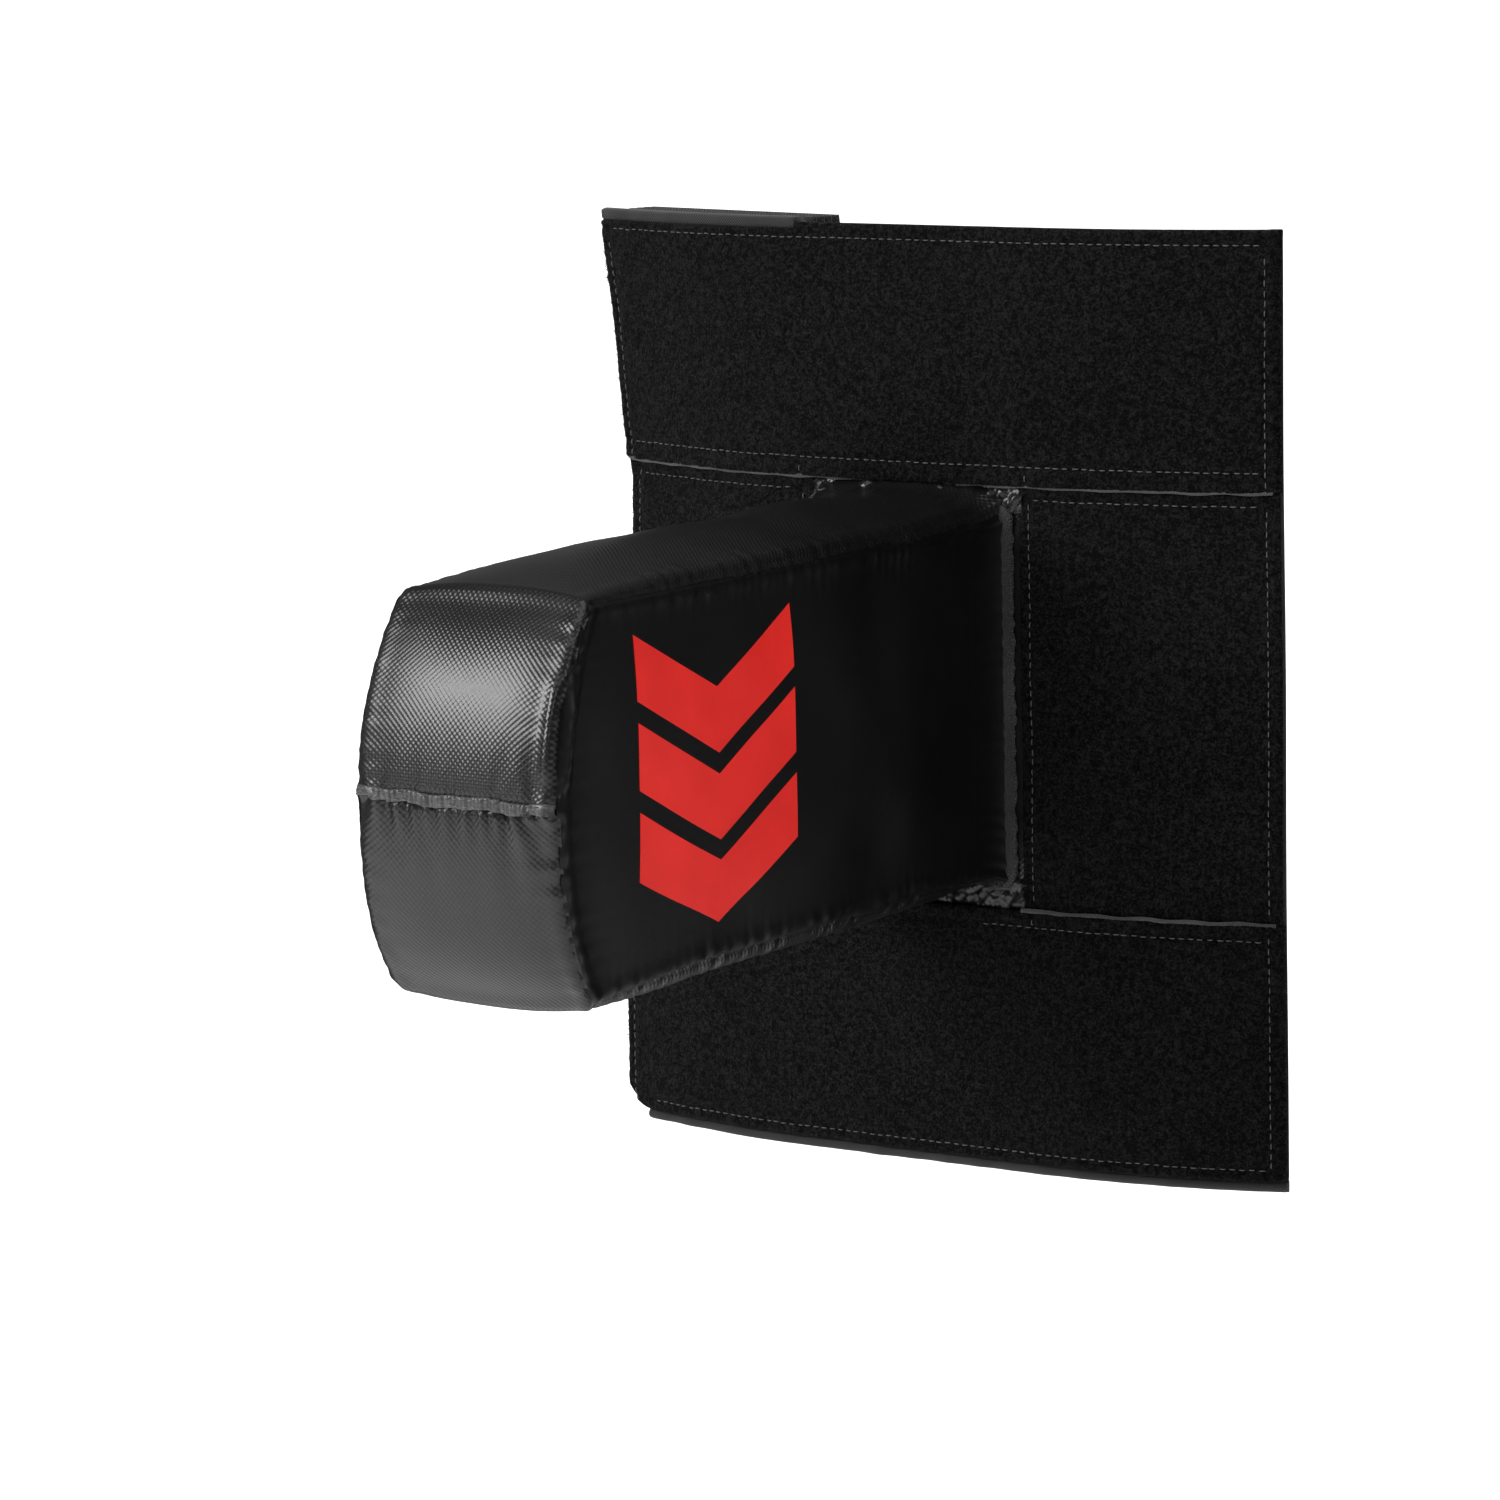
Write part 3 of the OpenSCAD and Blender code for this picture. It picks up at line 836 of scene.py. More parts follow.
def coverBlank():
    # grids for the two sides and the upper and lower gusset, sharing their seam points
    n, m, k = armShape["rows"], armShape["upright"], armShape["across"]
    z = np.linspace(armLow, armHigh, m + 1)
    f = np.linspace(0, 1, n + 1)[:, None]
    y = armShape["ring"] + (endY(z)[None, :] - armShape["ring"]) * f
    grids = {}
    for side, way in sides.items():
        grids[side] = np.stack(np.broadcast_arrays(way * armHalf, y, z[None, :]), -1)
    x = np.linspace(-armHalf, armHalf, k + 1)[None, :]
    half = m // 2
    for name, order in (("upper", np.arange(m, half - 1, -1)), ("lower", np.arange(0, half + 1))):
        flat = armShape["ring"] + (cornerY - armShape["ring"]) * f[:, 0]
        yy = np.concatenate([flat, endY(z[order[1:]])])[:, None]
        zz = np.concatenate([np.full(n + 1, z[order[0]]), z[order[1:]]])[:, None]
        grids[name] = np.stack(np.broadcast_arrays(x, yy, zz), -1)
    return grids


outwardFlip = {"left": False, "right": True, "upper": False, "lower": True}


def inflate(grids):
    every, faces, start = [], [], 0
    for name, grid in grids.items():
        every.append(grid.reshape(-1, 3))
        faces.append(gridFaces(*grid.shape[:2], flip=outwardFlip[name], start=start))
        start += grid.shape[0] * grid.shape[1]
    every = np.concatenate(every)
    _, first, same = np.unique(np.round(every / (0.01 * mm)).astype(int), axis=0, return_index=True,
                               return_inverse=True)
    same = same.ravel()
    points = every[first]
    seam = np.bincount(same) > 1
    blank = addMesh("coverBlank", points, same[np.concatenate(faces)], sideVinyl)
    pins = blank.vertex_groups.new(name="ring")
    pins.add([int(i) for i in np.nonzero(points[:, 1] > armShape["ring"] - 1 * mm)[0]], 1, "REPLACE")
    seams = blank.vertex_groups.new(name="seams")
    seams.add([int(i) for i in np.nonzero(seam)[0]], 1, "REPLACE")
    cloth = blank.modifiers.new("cloth", "CLOTH")
    settings = cloth.settings
    settings.quality = 6
    settings.mass = 0.3
    settings.tension_stiffness = settings.compression_stiffness = 25
    settings.shear_stiffness = 12
    settings.bending_stiffness = 0.5
    settings.use_pressure = True
    settings.uniform_pressure_force = armShape["pressure"]
    settings.effector_weights.gravity = 0
    settings.vertex_group_mass = "ring"
    settings.vertex_group_shrink = "seams"
    settings.shrink_min = -0.012
    settings.shrink_max = 0.02
    scene = bpy.context.scene
    cloth.point_cache.frame_start, cloth.point_cache.frame_end = 1, armShape["frames"]
    for frameNumber in range(1, armShape["frames"] + 1):
        scene.frame_set(frameNumber)
    shaped = blank.evaluated_get(bpy.context.evaluated_depsgraph_get())
    after = np.array([v.co for v in shaped.data.vertices], float)
    bpy.data.objects.remove(blank)
    scene.frame_set(1)
    move = after - points
    outward = np.zeros_like(points)
    np.add.at(outward, same, np.concatenate([gridNormals(g, flip=outwardFlip[k]).reshape(-1, 3)
                                             for k, g in grids.items()]))
    outward /= np.maximum(np.linalg.norm(outward, axis=1, keepdims=True), 1e-9)
    inward = np.minimum(np.sum(move * outward, axis=1, keepdims=True), 0)
    move = move - armShape["hold"] * inward * outward
    far = np.linalg.norm(move, axis=1, keepdims=True)
    print("cover blown up, largest move %.1f mm, mean %.1f mm" % (far.max() / mm, far.mean() / mm))
    cap = armShape["cap"]
    move = move * cap * np.tanh(far / cap) / np.maximum(far, 1e-9)
    move *= smooth((armShape["ring"] - points[:, 1:2]) / armShape["ringFade"])
    after = (points + move)[same]
    start = 0
    for name, grid in grids.items():
        count = grid.shape[0] * grid.shape[1]
        moved = after[start:start + count].reshape(grid.shape) - grid
        for _ in range(armShape["ease"]):
            upDown, leftRight = moved[:-2, 1:-1] + moved[2:, 1:-1], moved[1:-1, :-2] + moved[1:-1, 2:]
            moved[1:-1, 1:-1] = 0.25 * (upDown + leftRight)
        grids[name] = grid + moved
        start += count
    return grids


def settle(points):
    # how the cover rests: crowned on top, full underneath, sagging and spread at its end
    v, p = armShape, points.copy()
    halfHeight, fromY, fromZ = armHigh - armMiddle, points[..., 1], points[..., 2]
    upper = np.clip((p[..., 2] - armMiddle) / halfHeight, 0, 1.2) ** 3
    across = np.clip(1 - (p[..., 0] / armHalf) ** 2, 0, 1) ** v["crownPower"]
    p[..., 2] += v["crown"] * upper * across * np.exp(-(((fromY - v["ring"]) / v["crownFade"]) ** 2))
    back = 1 - np.exp(-np.clip(fromY - cornerY, 0, None) / v["rollOff"])
    lower = np.clip((armMiddle - p[..., 2]) / halfHeight, 0, 1.2) ** 3
    atRoot = smooth((v["ring"] + 6 * mm - fromY) / (50 * mm))
    p[..., 2] += v["fullTop"] * upper * across * back
    p[..., 2] -= v["fullBottom"] * lower * across * back * (0.3 + 0.7 * atRoot)
    p[..., 1] -= v["fullEnd"] * smooth((cornerY + 6 * mm - fromY) / (22 * mm)) * across
    under = smooth((armMiddle - fromZ) / halfHeight) * smooth((cornerY + v["sagRun"] - fromY) / v["sagRun"])
    p[..., 2] -= v["sagDown"] * under
    p[..., 1] -= v["sagOut"] * under
    nearEnd = smooth((cornerY + v["spreadFade"] - p[..., 1]) / v["spreadFade"])
    bow = np.clip(1 - ((p[..., 2] - armMiddle) / halfHeight) ** 2, 0, 1)
    leftEdge = np.clip(-p[..., 0] / armHalf, 0, 1) ** 3
    p[..., 0] -= (v["spread"] * nearEnd * bow + v["spreadLow"] * under) * leftEdge
    tilt = 0.5 * (1 - p[..., 0] / armHalf) * np.exp(-(((fromZ - armMiddle) / v["tiltHeight"]) ** 2))
    p[..., 2] += v["seamTilt"] * tilt * smooth((cornerY + 20 * mm - p[..., 1]) / (30 * mm))
    return p


coverGrids = {name: settle(grid) for name, grid in inflate(coverBlank()).items()}
fineTimes = 4
fineGrids = {name: refine(refine(grid, fineTimes, 0), fineTimes, 1) for name, grid in coverGrids.items()}
fineNormals = {name: gridNormals(grid, flip=outwardFlip[name]) for name, grid in fineGrids.items()}
print("cover simulated and refined")

seamLook = dict(tuck=1.3 * mm, tuckWidth=1.1 * mm, swell=0.5 * mm, swellAt=3.4 * mm, swellWidth=2.6 * mm,
                pucker=0.3 * mm, puckerLength=9 * mm, puckerReach=6 * mm, wobble=0.12 * mm,
                wobbleLength=55 * mm,
                gather=2.8 * mm, gatherReach=10 * mm,
                openLow=6 * mm, openHigh=52 * mm, openDepth=4.5 * mm, openWidth=1.7 * mm, openRidge=2.0 * mm)


def seamShape(along, away, seed, pucker=1.0):
    v = seamLook
    rise = -v["tuck"] * np.exp(-((away / v["tuckWidth"]) ** 2))
    rise = rise + v["swell"] * (1 + 0.35 * waves1(along, 13 * mm, seed + 3)) * np.exp(
        -(((away - v["swellAt"]) / v["swellWidth"]) ** 2))
    lumps = waves1(along, v["puckerLength"], seed) * np.exp(-away / v["puckerReach"])
    return rise + pucker * v["pucker"] * lumps


def creases(x, away, seed, count, deep, reach):
    # short pinched folds that run away from a tight seam
    rng = np.random.default_rng(seed)
    places = np.linspace(-armHalf + 5 * mm, armHalf - 5 * mm, count) + rng.normal(0, 1.3 * mm, count)
    total = 0
    for place, lean, size, run in zip(places, rng.normal(0, 0.2, count), rng.uniform(0.35, 1, count),
                                      rng.uniform(0.5, 1.3, count)):
        offset = (x - place - lean * away) / (1.3 * mm + 0.12 * away)
        total = total + size * (0.55 * np.exp(-((offset - 1.9) ** 2)) + 0.55 * np.exp(-((offset + 1.9) ** 2))
                                - np.exp(-(offset**2))) * np.exp(-away / (run * reach))
    return deep * total


def openPucker(z, away):
    # the gap pulled open along the front seam on the printed side
    v = seamLook
    window = smooth((z - v["openLow"]) / (14 * mm)) * smooth((v["openHigh"] - z) / (16 * mm))
    return window * (v["openRidge"] * np.exp(-(((away - 3.8 * mm) / (1.9 * mm)) ** 2))
                     - v["openDepth"] * np.exp(-((away / v["openWidth"]) ** 2)))


def sideCoords(f, z):
    # row and column in the fine grid for a share f of the way to the front seam
    upShare = (z - armLow) / (armHigh - armLow)
    return f * armShape["rows"] * fineTimes, upShare * armShape["upright"] * fineTimes


def gussetCoords(a, x):
    n, radius = armShape["rows"], armShape["endRadius"]
    flat = a / straightRun * n
    phi = np.clip((gussetRun - a) / radius, 0, None)
    steps = (armHigh - armMiddle - radius * np.sin(phi)) / (armHigh - armLow) * armShape["upright"]
    row = np.where(a <= straightRun, flat, n + steps)
    return row * fineTimes, (x + armHalf) / (2 * armHalf) * armShape["across"] * fineTimes


def sidePoint(side, f, z):
    way = sides[side]
    seed = 100 if way > 0 else 140
    u, v = sideCoords(f, z)
    base, normal = sampleGrid(fineGrids[side], u, v), sampleGrid(fineNormals[side], u, v)
    y = armShape["ring"] + (endY(z) - armShape["ring"]) * f
    toFront = (y - endY(z)) * 0.9
    rise = seamShape(y, armHigh - z, seed, 0.6) + seamShape(y, z - armLow, seed + 1, 0.35)
    rise = rise + seamShape(z, toFront, seed + 2, 1.5 if way > 0 else 0.8)
    rise = rise + seamLook["wobble"] * waves2(y, z, seamLook["wobbleLength"], seed + 5)
    if way > 0:
        rise = rise + openPucker(z, toFront)
    return base + normal * rise[..., None]


def gussetPoint(name, a, x):
    seed = 200 if name == "upper" else 240
    u, v = gussetCoords(a, x)
    base, normal = sampleGrid(fineGrids[name], u, v), sampleGrid(fineNormals[name], u, v)
    front = 0.7 + 0.9 * smooth((a - straightRun) / (20 * mm))
    rise = seamShape(a, armHalf - x, seed, front) + seamShape(a, x + armHalf, seed + 1, 0.7)
    toSeam = gussetRun - a
    count, strong = (5, 0.4) if name == "upper" else (11, 1.0)
    rise = rise + creases(x, toSeam, seed + 2, count, strong * seamLook["gather"], seamLook["gatherReach"])
    rise = rise - 0.8 * mm * np.exp(-((toSeam / (2 * mm)) ** 2))
    rise = rise + seamLook["wobble"] * waves2(a, x, seamLook["wobbleLength"], seed + 5)
    if name == "upper":
        height = armMiddle + armShape["endRadius"] * np.sin(np.clip(toSeam / armShape["endRadius"], 0, 1))
        rise = rise + openPucker(np.where(a > straightRun, height, 1), armHalf - x)
    return base + normal * rise[..., None]


def seamSteps(length, middle=1.7 * mm, both=True):
    edge = np.array([0, 0.35, 0.7, 1.05, 1.4, 1.8, 2.3, 3.0, 3.9, 5.0, 6.3]) * mm
    if both:
        inside = np.linspace(edge[-1], length - edge[-1], int((length - 2 * edge[-1]) / middle))[1:-1]
        return np.concatenate([edge, inside, (length - edge)[::-1]])
    inside = np.linspace(0, length - edge[-1], int((length - edge[-1]) / middle))[:-1]
    return np.concatenate([inside, (length - edge)[::-1]])


skirtLook = dict(flare=4.6 * mm, power=2.4, gather=1.0 * mm, gatherLength=8 * mm, steps=16,
                 cornerReach=16 * mm)


def skirtRows(firstRow, along, corner, seed):
    # carries the cover's first row back to the panel, flaring out as it goes
    w = np.linspace(1, 0, skirtLook["steps"] + 1)[:-1, None]
    flare = skirtLook["flare"] * w ** skirtLook["power"]
    nearCorner = np.exp(-corner / skirtLook["cornerReach"])
    lumps = waves1(along, skirtLook["gatherLength"], seed) * (0.3 + 0.9 * nearCorner)
    flare = flare + skirtLook["gather"] * lumps * w * (1 - 0.4 * w)
    x = firstRow[None, :, 0] * (1 + flare / armHalf)
    z = armMiddle + (firstRow[None, :, 2] - armMiddle) * (1 + flare / (armHigh - armMiddle))
    y = armShape["ring"] + (armShape["root"] - armShape["ring"]) * w + 0 * x
    return np.stack([x, y, z], -1)


def shellFaces(rowsCount, columnsCount, flip):
    # outer and inner skins with walls round the rim
    outer = gridFaces(rowsCount, columnsCount, flip=flip)
    total = rowsCount * columnsCount
    inner = outer[:, ::-1] + total
    number = np.arange(total).reshape(rowsCount, columnsCount)
    rim = np.concatenate([number[0], number[1:, -1], number[-1, -2::-1], number[-2:0:-1, 0]])
    after = np.roll(rim, -1)
    walls = np.stack([rim, rim + total, after + total, after], -1)
    return np.concatenate([outer, inner, walls if flip else walls[:, ::-1]])


def turnedEdges(points, normals, uvs, endWay, lowWay, highWay):
    # the seam allowances, folded in behind the cover
    steps = np.array([1.2, 3.4]) * mm
    pad = ((0, 2), (2, 2), (0, 0))
    p, n, uv = (np.pad(a, pad, mode="edge") for a in (points, normals, uvs))
    way = np.zeros_like(p)
    way[:, :2] += np.array(lowWay) + n[:, :2]
    way[:, -2:] += np.array(highWay) + n[:, -2:]
    way[-2:] += (np.array(endWay) + n[-2:]) if endWay is not None else n[-2:]
    way /= np.maximum(np.linalg.norm(way, axis=-1, keepdims=True), 1e-9)
    deep = np.zeros(p.shape[:2])
    deep[:, 1], deep[:, 0], deep[:, -2], deep[:, -1] = steps[0], steps[1], steps[0], steps[1]
    deep[-2] = np.maximum(deep[-2], steps[0])
    deep[-1] = np.maximum(deep[-1], steps[1])
    return p - way * deep[..., None], n, uv


def coverPatch(side):
    if side in sides:
        z = armLow + seamSteps(armHigh - armLow)
        f = seamSteps(gussetRun, both=False) / gussetRun
        ff, zz = np.meshgrid(f, z, indexing="ij")
        points = sidePoint(side, ff, zz)
        corner = np.minimum(z - armLow, armHigh - z)
        along = z + (0.5 if side == "left" else 0)
        y = armShape["ring"] + (endY(zz) - armShape["ring"]) * ff
        uvs = np.stack([-y, zz], -1)
        ways = ((0, -1, 0), (0, 0, -1), (0, 0, 1))
    else:
        x = -armHalf + seamSteps(2 * armHalf)
        a = seamSteps(gussetRun, both=False)
        aa, xx = np.meshgrid(a, x, indexing="ij")
        points = gussetPoint(side, aa, xx)
        corner = armHalf - np.abs(x)
        along = x
        uvs = np.stack([aa, xx], -1)
        ways = (None, (-1, 0, 0), (1, 0, 0))
    skirt = skirtRows(points[0], along, corner, 300 + len(side))
    split = len(skirt)
    backUv = np.stack([-skirt[..., 1] + (0 if side in sides else armShape["ring"]),
                       np.repeat(along[None], split, 0)], -1)
    whole = np.concatenate([skirt, points])
    uvs = np.concatenate([backUv, uvs])
    normals = gridNormals(whole, flip=outwardFlip[side])
    outer, normals, uvs = turnedEdges(whole, normals, uvs, *ways)
    inner = outer - normals * armShape["coverThickness"]
    return outer, inner, uvs, split


coverParts = {"left": ("sideCover_left", "cover_side_left"), "right": ("sideCover_right", "cover_side_right"),
              "upper": ("upperCover", "upper_gusset"), "lower": ("lowerCover", "lower_gusset")}
skirtPoints, skirtFaces, skirtUvs, skirtSlots = [], [], [], []


def neckToArm(piece):
    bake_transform(piece)
    return piece


for side, (name, node) in coverParts.items():
    outer, inner, uvs, split = coverPatch(side)
    flip = outwardFlip[side]
    front = slice(split, None)
    rowCount, columnCount = outer[front].shape[:2]
    points = np.concatenate([outer[front].reshape(-1, 3), inner[front].reshape(-1, 3)])
    material = sideVinyl if side in sides else scrimVinyl
    uvPair = np.concatenate([uvs[front].reshape(-1, 2)] * 2)
    piece = addMesh(name, points, shellFaces(rowCount, columnCount, flip), material, uvPair)
    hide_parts(node)
    neckToArm(piece)
    back = slice(0, split + 1)
    rowCount, columnCount = outer[back].shape[:2]
    start = sum(len(p) for p in skirtPoints)
    faces = shellFaces(rowCount, columnCount, flip) + start
    skirtPoints.append(np.concatenate([outer[back].reshape(-1, 3), inner[back].reshape(-1, 3)]))
    skirtUvs.append(np.concatenate([uvs[back].reshape(-1, 2)] * 2))
    skirtFaces += list(faces)
    skirtSlots += [0 if side in sides else 1] * len(faces)

rootCover = addMesh("rootCover", np.concatenate(skirtPoints), skirtFaces, [sideVinyl, scrimVinyl],
                    np.concatenate(skirtUvs), skirtSlots)
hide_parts("root_skirt")
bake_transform(rootCover)
print("arm cover made")

# the printed mark on the right side

markLook = dict(reach=-217 * mm, middle=2 * mm, width=104 * mm, stroke=25 * mm, pitch=33 * mm, drop=26 * mm,
                count=3, lift=0.18 * mm, thick=0.3 * mm, step=1.3 * mm)


def makeMark():
    # chevrons printed on the vinyl, following its surface
    v = markLook
    y = np.arange(-v["width"] / 2, v["width"] / 2 + 0.1 * mm, v["step"])
    y = y * (v["width"] / 2) / abs(y[0])
    t = np.linspace(0, 1, int(v["stroke"] / v["step"]) + 1)
    rise = (v["count"] - 1) * v["pitch"] + v["stroke"] - v["drop"]
    points, faces = [], []
    for k in range(v["count"]):
        base = k * v["pitch"] - rise / 2 + v["middle"]
        yy, tt = np.meshgrid(y, t, indexing="ij")
        zz = base - v["drop"] * (1 - np.abs(yy) / (v["width"] / 2)) + v["stroke"] * tt
        place = v["reach"] + yy
        f = (place - armShape["ring"]) / (endY(zz) - armShape["ring"])
        skin = sidePoint("right", f, zz)
        out = gridNormals(skin, flip=True)
        out *= np.sign(out[..., :1])
        start = sum(len(p) for p in points)
        faces += list(shellFaces(len(y), len(t), True) + start)
        points += [(skin + out * lift).reshape(-1, 3) for lift in (v["lift"], v["lift"] - v["thick"])]
    mark = addMesh("printedMark", np.concatenate(points), faces, markPrint)
    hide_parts("aim_mark")
    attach(mark, "arm")


makeMark()

stripLook = dict(height=4.2 * mm, thick=0.9 * mm, lap=0.4 * mm, up=0.3 * mm, rest=4 * mm,
                 stitchRows=(1.35 * mm, -1.0 * mm), pulls=3.6 * mm)


def endStripPoint(x, up, lift):
    # up runs across the seam, above it on the upper cover and below it on the lower one
    a = gussetRun - np.abs(up)
    high = gussetPoint("upper", a, x)
    low = gussetPoint("lower", a, x)
    skin = np.where((up >= 0)[..., None], high, low)
    besideSeam = gussetRun - stripLook["rest"] + 0 * a
    flat = 0.5 * (gussetPoint("upper", besideSeam, x) + gussetPoint("lower", besideSeam, x))
    y = np.minimum(skin[..., 1], flat[..., 1]) - lift
    return np.stack([skin[..., 0], y, skin[..., 2]], -1)


def makeEndStrip():
    v = stripLook
    x = np.linspace(-armHalf + 0.8 * mm, armHalf - 0.8 * mm, 64)
    up = np.array([-0.5, -0.47, -0.35, 0, 0.35, 0.47, 0.5]) * v["height"] + v["up"]
    lift = np.array([0.1, 0.75, 1, 1, 1, 0.75, 0.1]) * v["thick"]
    xx, uu = np.meshgrid(x, up, indexing="ij")
    lump = 0.25 * mm * waves1(xx, 9 * mm, 71) + 0.15 * mm * waves2(xx, uu, 3 * mm, 72)
    front = endStripPoint(xx, uu + 0.4 * mm * waves1(xx, 30 * mm, 73), lift[None] + v["lap"] + lump)
    behind = front + np.array([0, 1.4 * mm, 0])
    uvs = np.concatenate([np.stack([uu, xx], -1).reshape(-1, 2)] * 2)
    strip = addMesh("endSeamStrip", np.concatenate([front.reshape(-1, 3), behind.reshape(-1, 3)]),
                    shellFaces(len(x), len(up), True), stripVinyl, uvs)
    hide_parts("end_seam_strip")
    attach(strip, "arm")
    runs = []
    for offset in v["stitchRows"]:
        path = endStripPoint(x, offset + 0 * x + v["up"], v["thick"] + v["lap"])
        runs.append((path, np.tile([0, -1.0, 0], (len(x), 1))))
    points, faces = stitches(runs, dict(pitch=v["pulls"], dash=2.4 * mm, radius=0.24 * mm, rise=0.4 * mm), 77)
    thread = addMesh("endStitching", points, faces, darkThread)
    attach(thread, "arm")


def stripVinylMaterial():
    r = Recipe("stripVinyl")
    smudge = r.noise(120, 4, 0.6)
    split = r.node("ShaderNodeSeparateXYZ", [(0, r.coords.outputs["UV"])])
    pulls = r.math("SINE", r.math("MULTIPLY", split.outputs[1], 2 * math.pi / stripLook["pulls"]))
    # the strip's tone is lighter than the other black vinyl: partly a painted highlight for the strip's
    # gloss, with random variation from the noise
    tone = r.ramp(smudge, 0.3, 0.7, (0.02, 0.02, 0.021), (0.06, 0.06, 0.062))
    normal = r.bump(r.noise(900, 3, 0.6), 0.1 * mm, 1, r.bump(pulls, 0.25 * mm))
    return r.finish(tone, r.span(smudge, 0.24, 0.4), normal)


stripVinyl = stripVinylMaterial()
makeEndStrip()

# where the arm meets the panel

ridgeLook = dict(width=6.2 * mm, proud=3.0 * mm, halfX=45.5 * mm, up=75.6 * mm, corner=5 * mm, rear=-6.6 * mm)


def rootPath(halfX, halfZ, corner, step=1.6 * mm):
    # a rounded rectangle, anticlockwise seen from the front, with outward directions
    points = []
    for cx, cz, first in ((1, 1, 0), (-1, 1, 90), (-1, -1, 180), (1, -1, 270)):
        for angle in np.radians(np.linspace(first, first + 90, 9)):
            points.append((cx * (halfX - corner) + corner * math.cos(angle), cz * (halfZ - corner)
                           + corner * math.sin(angle)))
    points = np.array(points)
    closed = np.concatenate([points, points[:1]])
    length = np.concatenate([[0], np.cumsum(np.linalg.norm(np.diff(closed, axis=0), axis=1))])
    where = np.arange(0, length[-1], step)
    x, z = (np.interp(where, length, closed[:, k]) for k in (0, 1))
    ahead = np.stack([np.roll(x, -1) - np.roll(x, 1), np.roll(z, -1) - np.roll(z, 1)], -1)
    ahead /= np.linalg.norm(ahead, axis=1, keepdims=True)
    return x, z, np.stack([ahead[:, 1], -ahead[:, 0]], -1), where


def makeRidge():
    # woven tape bound over the raw edges round the arm's root
    v = ridgeLook
    x, z, out, where = rootPath(v["halfX"], v["up"], v["corner"])
    phi = np.linspace(0, 2 * math.pi, 13)[:-1]
    wide = np.sign(np.cos(phi)) * np.abs(np.cos(phi)) ** 0.7 * v["width"] / 2
    deep = np.sign(np.sin(phi)) * np.abs(np.sin(phi)) ** 0.7 * v["proud"] / 2
    lump = 1 + 0.12 * waves1(where, 7 * mm, 81)[:, None]
    side = wide[None] * lump + 0.35 * mm * waves1(where, 25 * mm, 82)[:, None]
    grid = np.stack([x[:, None] + out[:, :1] * side, v["rear"] - v["proud"] / 2 - deep[None] * lump,
                     armMiddle + z[:, None] + out[:, 1:] * side], -1)
    grid = np.concatenate([grid, grid[:1]])
    n, m = grid.shape[0] - 1, grid.shape[1]
    r, c = np.meshgrid(np.arange(n), np.arange(m), indexing="ij")
    quads = np.stack([r * m + c, r * m + (c + 1) % m, (r + 1) % n * m + (c + 1) % m, (r + 1) % n * m + c], -1)
    ridge = addMesh("rootBinding", grid[:-1].reshape(-1, 3), quads.reshape(-1, 4), ridgeTape)
    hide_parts("root_binding")
    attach(ridge, "panel")


makeRidge()

flangeLook = dict(step=0.9 * mm, thick=1.1 * mm, lap=4 * mm, crease=3.6 * mm, flatTo=74 * mm)


def makeFlange():
    # the vinyl skirt sewn flat on the panel under the bands
    v = flangeLook
    x = np.arange(7 * mm - creaseX, creaseX + 0.1 * mm, v["step"])
    z = np.arange(lowFold - v["lap"], topFold + v["lap"], v["step"])
    xx, zz = np.meshgrid(x, z, indexing="ij")
    past = np.abs(zz - armMiddle) - v["flatTo"]
    near = np.clip(1 - past / (16 * mm), 0, 1) * (past > 0)
    rise = v["crease"] * np.abs(waves2(xx, zz, 11 * mm, 91)) * near + 0.12 * mm * waves2(xx, zz, 12 * mm, 92)
    tuck = smooth((zz - topFold + 2 * mm) / (2 * mm)) + smooth((lowFold + 2 * mm - zz) / (2 * mm))
    front = np.stack([xx, -(padDepth + v["thick"] + rise * (1 - np.clip(tuck, 0, 1))), zz], -1)
    behind = np.stack([xx, -padDepth - 0.02 * mm + 0 * xx, zz], -1)
    uvs = np.concatenate([np.stack([xx, zz], -1).reshape(-1, 2)] * 2)
    flange = addMesh("rootFlange", np.concatenate([front.reshape(-1, 3), behind.reshape(-1, 3)]),
                     shellFaces(len(x), len(z), False), scrimVinyl, uvs)
    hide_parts("root_flange")
    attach(flange, "panel")


makeFlange()

foldLook = dict(span=80 * mm, radius=2.6 * mm, drop=3.4 * mm, y=-9.6 * mm, aside=-3 * mm, top=84.2 * mm,
                low=-77.5 * mm, steps=60, around=16)


def makeRootFolds():
    # loose glossy folds of vinyl between the arm and the bands, above and below it
    v = foldLook
    points, faces = [], []
    for index, (height, way) in enumerate(((v["top"], 1), (v["low"], -1))):
        steps, around = v["steps"], v["around"]
        x = np.linspace(-v["span"] / 2, v["span"] / 2, steps)
        phi = np.linspace(0, 2 * math.pi, around + 1)[:-1]
        taper = np.clip(1 - (2 * x / v["span"]) ** 6, 0.03, 1) ** 0.5
        radius = v["radius"] * taper * (1 + 0.28 * waves1(x, 17 * mm, 94 + index))
        z = height - way * v["drop"] * (2 * x / v["span"]) ** 2 + 0.8 * mm * waves1(x, 21 * mm, 96 + index)
        y = v["y"] + 0.8 * mm * waves1(x, 26 * mm, 98 + index)
        thick = radius[:, None]
        grid = np.stack([np.repeat(x[:, None] + v["aside"], around, 1),
                         y[:, None] - 1.2 * thick * np.cos(phi), z[:, None] + thick * np.sin(phi)], -1)
        start = around * steps * index
        faces += list(gridFaces(steps, around, start=start, wrap=True))
        faces += [np.arange(around) + start, np.arange(around)[::-1] + start + around * (steps - 1)]
        points.append(grid.reshape(-1, 3))
    points = np.concatenate(points)
    fold = addMesh("rootFolds", points, faces, scrimVinyl, points[:, [0, 2]])
    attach(fold, "panel")


makeRootFolds()
print("root binding, flange and folds made")

# foam inside the arm

foamLook = dict(start=-66 * mm, gap=4.5 * mm, round=3 * mm)


